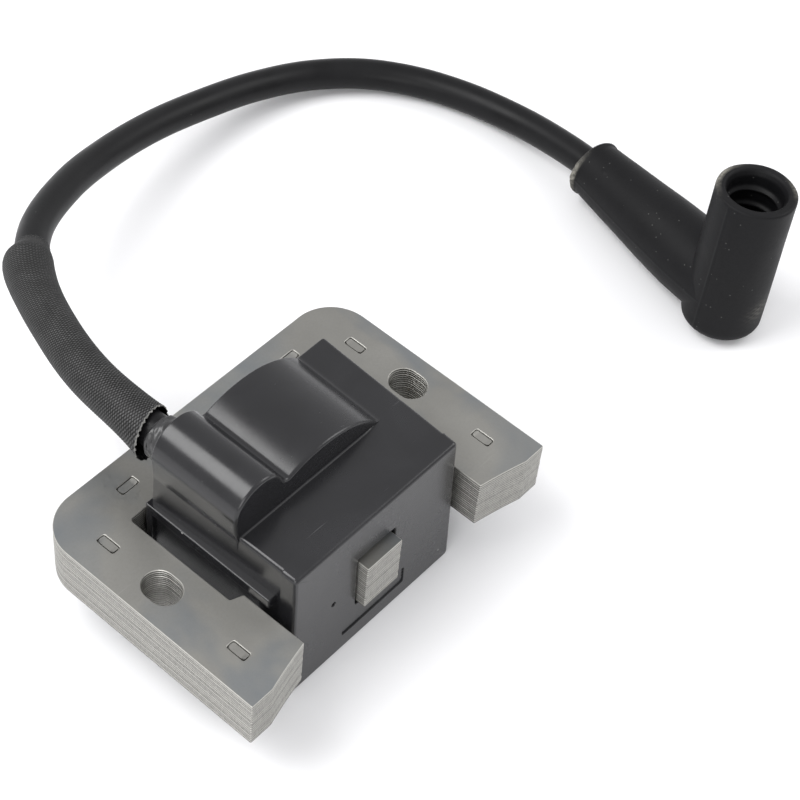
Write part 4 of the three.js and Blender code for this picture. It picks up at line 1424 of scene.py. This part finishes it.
def barrel_shell(flash):
    """The barrel: a profile turned about the plug's axis, with the mould's parting line as a
    thin ridge down two opposite sides and a slightly uneven skin."""
    place = boot_place()
    r, base, mouth = BARREL_RADIUS, BARREL_FOOT, BARREL_MOUTH
    foot = arc((r - 2.9, base + 2.9), 2.9, -90, 0, 12)
    side = line((r, base + 2.9), (r - 0.12, mouth - 0.7), 60)[1:]
    rim = arc((r - 0.82, mouth - 0.7), 0.7, 0, 90, 8)
    face = line((r - 0.82, mouth), (5.5, mouth), 5, last=True)[1:]
    profile = np.vstack([(0.01, base), foot, side, rim, face, (0.01, mouth)])
    count = 240
    angle = np.arange(count) / count * TURN
    points = turned(profile, place, count)
    height = profile[:, 1][:, None]
    lines = ridge(angle, np.radians(95), 0.032) + ridge(angle, np.radians(275), 0.032)
    shown = smoothstep(height, base + 0.4, base + 2.0) * (1 - smoothstep(height, mouth - 1.2, mouth))
    grow = flash * lines[None] * shown
    grow = grow + 0.03 * np.sin(2 * angle + height / 5) * shown
    radial = np.stack([np.cos(angle), np.sin(angle)], -1) @ place[:2]
    lip = 0.25 * np.exp(-(((height - mouth + 0.15) / 0.25) ** 2))
    lip = lip * (profile[:, :1] > r - 1.2) * (0.6 + 0.4 * np.sin(5 * angle + 1))
    points = points + (grow + lip * 0.5)[..., None] * radial[None]
    return Shell().rod(points)


def collar_flash(angle):
    """How far the collar's flash reaches round the turn: two ragged stretches."""
    squeezed = ridge(angle, np.radians(10), 0.55) + ridge(angle, np.radians(188), 0.45)
    return squeezed * (0.75 + 0.25 * np.sin(19 * angle) * np.sin(7 * angle + 1))


def arm_shell(flash):
    """The arm: its taper turned about the lead's axis out to a collar with a thin flash lip,
    and a small round dot on its upper side."""
    place = boot_place()
    out = np.array([place[1], place[2], place[0], place[3]])
    taper = np.array([(8.62, 0), (8.72, 13), (8.3, 22), (7.5, 31), (6.75, 40), (6.5, 44.1)])
    x = np.concatenate([np.linspace(0, 42.3, 96), np.linspace(42.5, 44.35, 12)])
    radius = np.interp(x, taper[:, 1], taper[:, 0])
    radius = np.convolve(np.pad(radius, 3, "edge"), np.ones(7) / 7, "valid")
    radius = radius + 0.18 * smoothstep(x, 43.3, 44.1)
    count = 200
    end = [(6.45, ARM_LENGTH - 0.1), (6.2, ARM_LENGTH), (0.01, ARM_LENGTH)]
    profile = np.vstack([(0.01, 0), np.column_stack([radius, x]), end])
    angle = np.arange(count) / count * TURN
    points = turned(profile, out, count)
    along = profile[:, 1][:, None]
    shown = (profile[:, :1] > 6.3) * 1.0
    lines = ridge(angle, 0, 0.035) + ridge(angle, np.pi, 0.035)
    grow = flash * 0.6 * lines[None] * shown
    collar = smoothstep(along, 43.5, 44.3) * (0.10 + 0.55 * collar_flash(angle))
    grow = grow + collar * shown
    spot = (along - 37.75) ** 2 + ((angle[None] - np.radians(54)) * 6.9) ** 2
    grow = grow + 0.20 * np.exp(-spot / 0.15) * shown
    grow = grow + 0.05 * np.sin(along / 4 + 2 * angle) * shown
    radial = np.stack([np.cos(angle), np.sin(angle)], -1) @ out[:2]
    points = points + grow[..., None] * radial[None]
    return Shell().rod(points)


def mark_flash(boot):
    """Stores where the boot's rubber is thin and pale, from each point's place: on two
    stretches of the mouth's outer rim, faintly on a scuffed patch of the barrel opposite the
    arm, and on the collar's flash."""
    place = boot_place()
    points = np.empty(len(boot.data.vertices) * 3)
    boot.data.vertices.foreach_get("co", points)
    out, side, up = place[:3] @ (points.reshape(-1, 3) / MM - place[3]).T
    radius, angle = np.hypot(out, side), np.arctan2(side, out)
    skin = radius > BARREL_RADIUS - 1.0
    rim = np.exp(-(((up - BARREL_MOUTH + 0.2) / 0.45) ** 2)) * skin
    pale = rim * (ridge(angle, np.radians(20), 0.5) + 0.6 * ridge(angle, np.radians(243), 0.3))
    worn = np.exp(-((up / 2.4) ** 2)) * ridge(angle, np.radians(190), 0.30) * skin
    pale = pale + 0.45 * worn * (0.5 + 0.5 * np.sin(23 * angle + 5 * up))
    collar = smoothstep(out, 43.4, 44.0) * (np.hypot(side, up) > 6.1)
    pale = pale + 1.4 * collar * collar_flash(np.arctan2(up, side))
    pale = np.clip(pale, 0, 1).astype(np.float32)
    boot.data.attributes["relief"].data.foreach_set("value", pale)


def bore_tool():
    """The cutter for the plug's bore: a cylinder that two round grooves narrow to the bore's
    inner ribs and that flares at the mouth."""
    place = boot_place()
    mouth, floor, bore = BARREL_MOUTH, -2.5, 6.07
    z = np.concatenate([np.linspace(floor, 14, 8), np.linspace(14.5, mouth - 0.5, 70)])
    ribs = sum(0.75 * np.exp(-(((z - mouth + depth) / 0.55) ** 2)) for depth in (8.6, 4.6))
    flare = 0.45 * smoothstep(z, mouth - 1.6, mouth)
    body = np.column_stack([bore - ribs + flare, z])
    rim = [(bore + 0.5, mouth - 0.2), (bore + 0.85, mouth + 0.05), (bore + 0.85, mouth + 1)]
    return Shell().rod(turned(np.vstack([body, rim]), place, 96)).piece("bore_tool")


def socket_tool():
    """The cutter for the lead's socket, flared at the collar."""
    place = boot_place()
    out = np.array([place[1], place[2], place[0], place[3]])
    profile = [(3.62, 2.0), (3.62, 43.6), (3.8, 44.4), (4.2, 44.85), (4.2, 46)]
    return Shell().rod(turned(profile, out)).piece("socket_tool")


# ------------------------------------------------------------------ operators


class COIL_OT_stage(bpy.types.Operator):
    """Makes the camera, the pale floor and the soft lights."""

    bl_idname = "ignition_coil.stage"
    bl_label = "Stage"

    def execute(self, context):
        settings = context.scene.coil_stage
        camera = bpy.data.objects.new("camera", bpy.data.cameras.new("camera"))
        context.scene.collection.objects.link(camera)
        camera.data.lens = settings.lens
        camera.data.sensor_width = 36
        camera.data.clip_start = 0.01
        camera.data.clip_end = 20
        right = Vector((0.658520, -0.748790, 0.075272))
        up = Vector((0.550737, 0.547662, 0.629884))
        back = Vector((-0.512874, -0.373336, 0.773033))
        turn = Matrix((right, up, back)).transposed().to_4x4()
        camera.matrix_world = Matrix.Translation((-0.18722, -0.15814, 0.34947)) @ turn
        context.scene.camera = camera

        half, below = 1500.0, -0.02
        x, y = np.meshgrid((-half, half), (-half, half))
        shell = Shell()
        shell.grid(np.stack([x, y, np.full((2, 2), below)], -1))
        floor = shell.piece("floor")
        paint(floor, floor_material(settings.floor_colour))

        world = bpy.data.worlds.new("studio")
        world.use_nodes = True
        backdrop = world.node_tree.nodes["Background"]
        backdrop.inputs["Color"].default_value = (*settings.floor_colour, 1)
        backdrop.inputs["Strength"].default_value = 0.9
        context.scene.world = world
        context.scene.view_settings.view_transform = "Standard"
        lamps = (
            ("key", (-0.35, 0.35, 0.75), 0.55, 0.55, settings.key_power),
            ("fill", (-0.75, -0.35, 0.45), 0.5, 0.5, settings.key_power * 0.45),
            ("side", (0.65, -0.30, 0.55), 0.45, 0.45, settings.key_power * 0.35),
        )
        target = Vector((0.03, 0.02, 0.02))
        for name, place, width, height, power in lamps:
            lamp = bpy.data.lights.new(name, "AREA")
            lamp.shape = "RECTANGLE"
            lamp.size, lamp.size_y = width, height
            lamp.energy = power
            holder = bpy.data.objects.new(name, lamp)
            context.scene.collection.objects.link(holder)
            holder.location = place
            holder.rotation_mode = "QUATERNION"
            holder.rotation_quaternion = (target - Vector(place)).to_track_quat("-Z", "Y")
        return {"FINISHED"}


class COIL_OT_lead(bpy.types.Operator):
    """Makes the lead, its braided sleeve and the sealant collar at the tower."""

    bl_idname = "ignition_coil.lead"
    bl_label = "Lead, sleeve and seal"

    def execute(self, context):
        settings = context.scene.coil_lead
        shell, path = lead_shell()
        lead = shell.piece("lead_jacket")
        rubber = rubber_material("lead_rubber", settings.jacket, 0.36, 0.46, 0.004, 0.12)
        stand_in(lead, rubber, "ht_lead")

        pitch = settings.yarn_pitch / MM
        sleeve = sleeve_shell(settings.yarns, pitch).piece("braided_sleeve", sharp=80)
        braid = braid_material(settings.yarn, settings.yarns)
        stand_in(sleeve, braid, "lead_sleeve")

        seal = seal_shell().piece("seal_collar", sharp=40)
        sealant = cast_material("cured_sealant", (0.030, 0.030, 0.031), 0.22, 0.4)
        stand_in(seal, sealant, "lead_seal")
        context.scene["lead_path"] = [list(map(float, point)) for point in path * MM]
        return {"FINISHED"}


class COIL_OT_boot(bpy.types.Operator):
    bl_idname = "ignition_coil.boot"
    bl_label = "Plug boot"

    def execute(self, context):
        settings = context.scene.coil_boot
        flash = settings.flash / MM
        boot = barrel_shell(flash).piece("boot_rubber")
        combine(boot, arm_shell(flash).piece("arm"), "UNION")
        combine(boot, bore_tool(), "DIFFERENCE")
        combine(boot, socket_tool(), "DIFFERENCE")
        mark_flash(boot)
        smooth(boot.data, 34)
        even_normals(boot)
        rubber = rubber_material("boot_rubber", settings.rubber, 0.48, 0.60, 0.06, 0.30)
        stand_in(boot, rubber, "plug_boot", "boot")
        del context.scene["lead_path"]
        return {"FINISHED"}


class COIL_OT_armature(bpy.types.Operator):
    """Makes the stack of punched sheets."""

    bl_idname = "ignition_coil.armature"
    bl_label = "Armature"

    def execute(self, context):
        settings = context.scene.coil_armature
        steel = steel_material(settings.steel)
        random = np.random.default_rng(7)
        for name in SHEETS:
            low, high = node_box(name)
            chamfer = settings.chamfer / MM * (1.8 if name == SHEETS[-1] else 1.0)
            mesh = sheet_mesh(name, low[2], high[2], chamfer)
            x, y = random.uniform(-1, 1, 2) * settings.stagger
            if name not in (SHEETS[0], SHEETS[-1]):
                mesh.transform(Matrix.Translation((x, y, 0)))
            sheet = show(name.replace("lamination", "sheet"), mesh)
            stand_in(sheet, steel, name)
        return {"FINISHED"}


class COIL_OT_housing(bpy.types.Operator):
    """Makes the moulded coil housing."""

    bl_idname = "ignition_coil.housing"
    bl_label = "Housing"

    def execute(self, context):
        settings = context.scene.coil_housing
        body = housing_mesh(settings.rim_rounding / MM)
        body.name = "coil_case"
        even_normals(body)
        stand_in(body, plastic_material(settings.plastic), "coil_housing")
        return {"FINISHED"}


class COIL_OT_inner(bpy.types.Operator):
    """Gives every frame node that stays in view its own material, after its record slot."""

    bl_idname = "ignition_coil.inner"
    bl_label = "Inner parts"

    def execute(self, context):
        copper = (0.50, 0.17, 0.06)
        materials = {
            "resin": cast_material("potting_resin", (0.012, 0.012, 0.013), 0.25, 0.42),
            "bobbin_plastic": cast_material("bobbin_plastic", (0.62, 0.57, 0.44), 0.42, 0.56),
            "copper_wire": wound_wire_material("enamelled_wire", copper, 0.0004),
            "board": board_material(),
            "film": cast_material("dipped_film", (0.58, 0.36, 0.05), 0.22, 0.36),
            "part_black": cast_material("component_black", (0.016, 0.016, 0.017), 0.4, 0.55),
            "brass": metal_material("bright_brass", (0.74, 0.53, 0.20), 0.22, 0.38),
            "tinned": metal_material("tinned_steel", (0.62, 0.62, 0.61), 0.28, 0.45),
        }
        for part in frame["record"]["subparts"]:
            node = frame["nodes"][part["node"]]
            if not node.hide_render:
                paint(node, materials[part["material_slot"]])
        return {"FINISHED"}


class COIL_PT_panel(bpy.types.Panel):
    """Lists the pieces of the coil with their settings."""

    bl_idname = "COIL_PT_panel"
    bl_label = "Ignition coil"
    bl_space_type = "VIEW_3D"
    bl_region_type = "UI"
    bl_category = "Ignition coil"

    def draw(self, context):
        for operator, group in STEPS:
            box = self.layout.box()
            if group:
                settings = getattr(context.scene, group)
                for name in settings.bl_rna.properties.keys():
                    if name not in ("rna_type", "name"):
                        box.prop(settings, name)
            box.operator(operator.bl_idname)


STEPS = (
    (COIL_OT_stage, "coil_stage"),
    (COIL_OT_lead, "coil_lead"),
    (COIL_OT_boot, "coil_boot"),
    (COIL_OT_armature, "coil_armature"),
    (COIL_OT_housing, "coil_housing"),
    (COIL_OT_inner, None),
)
SETTINGS = {
    "coil_stage": StageSettings,
    "coil_lead": LeadSettings,
    "coil_boot": BootSettings,
    "coil_armature": ArmatureSettings,
    "coil_housing": HousingSettings,
}


def register():
    for name, group in SETTINGS.items():
        bpy.utils.register_class(group)
        setattr(bpy.types.Scene, name, PointerProperty(type=group))
    for operator, _ in STEPS:
        bpy.utils.register_class(operator)
    bpy.utils.register_class(COIL_PT_panel)


def unregister():
    bpy.utils.unregister_class(COIL_PT_panel)
    for operator, _ in reversed(STEPS):
        bpy.utils.unregister_class(operator)
    for name, group in reversed(SETTINGS.items()):
        delattr(bpy.types.Scene, name)
        bpy.utils.unregister_class(group)


def main():
    register()
    make_grain_group()
    make_scratch_group()
    make_speck_group()
    make_blotch_group()
    for operator, _ in STEPS:
        group, name = operator.bl_idname.split(".")
        getattr(getattr(bpy.ops, group), name)()


if __name__ == "__main__":
    main()
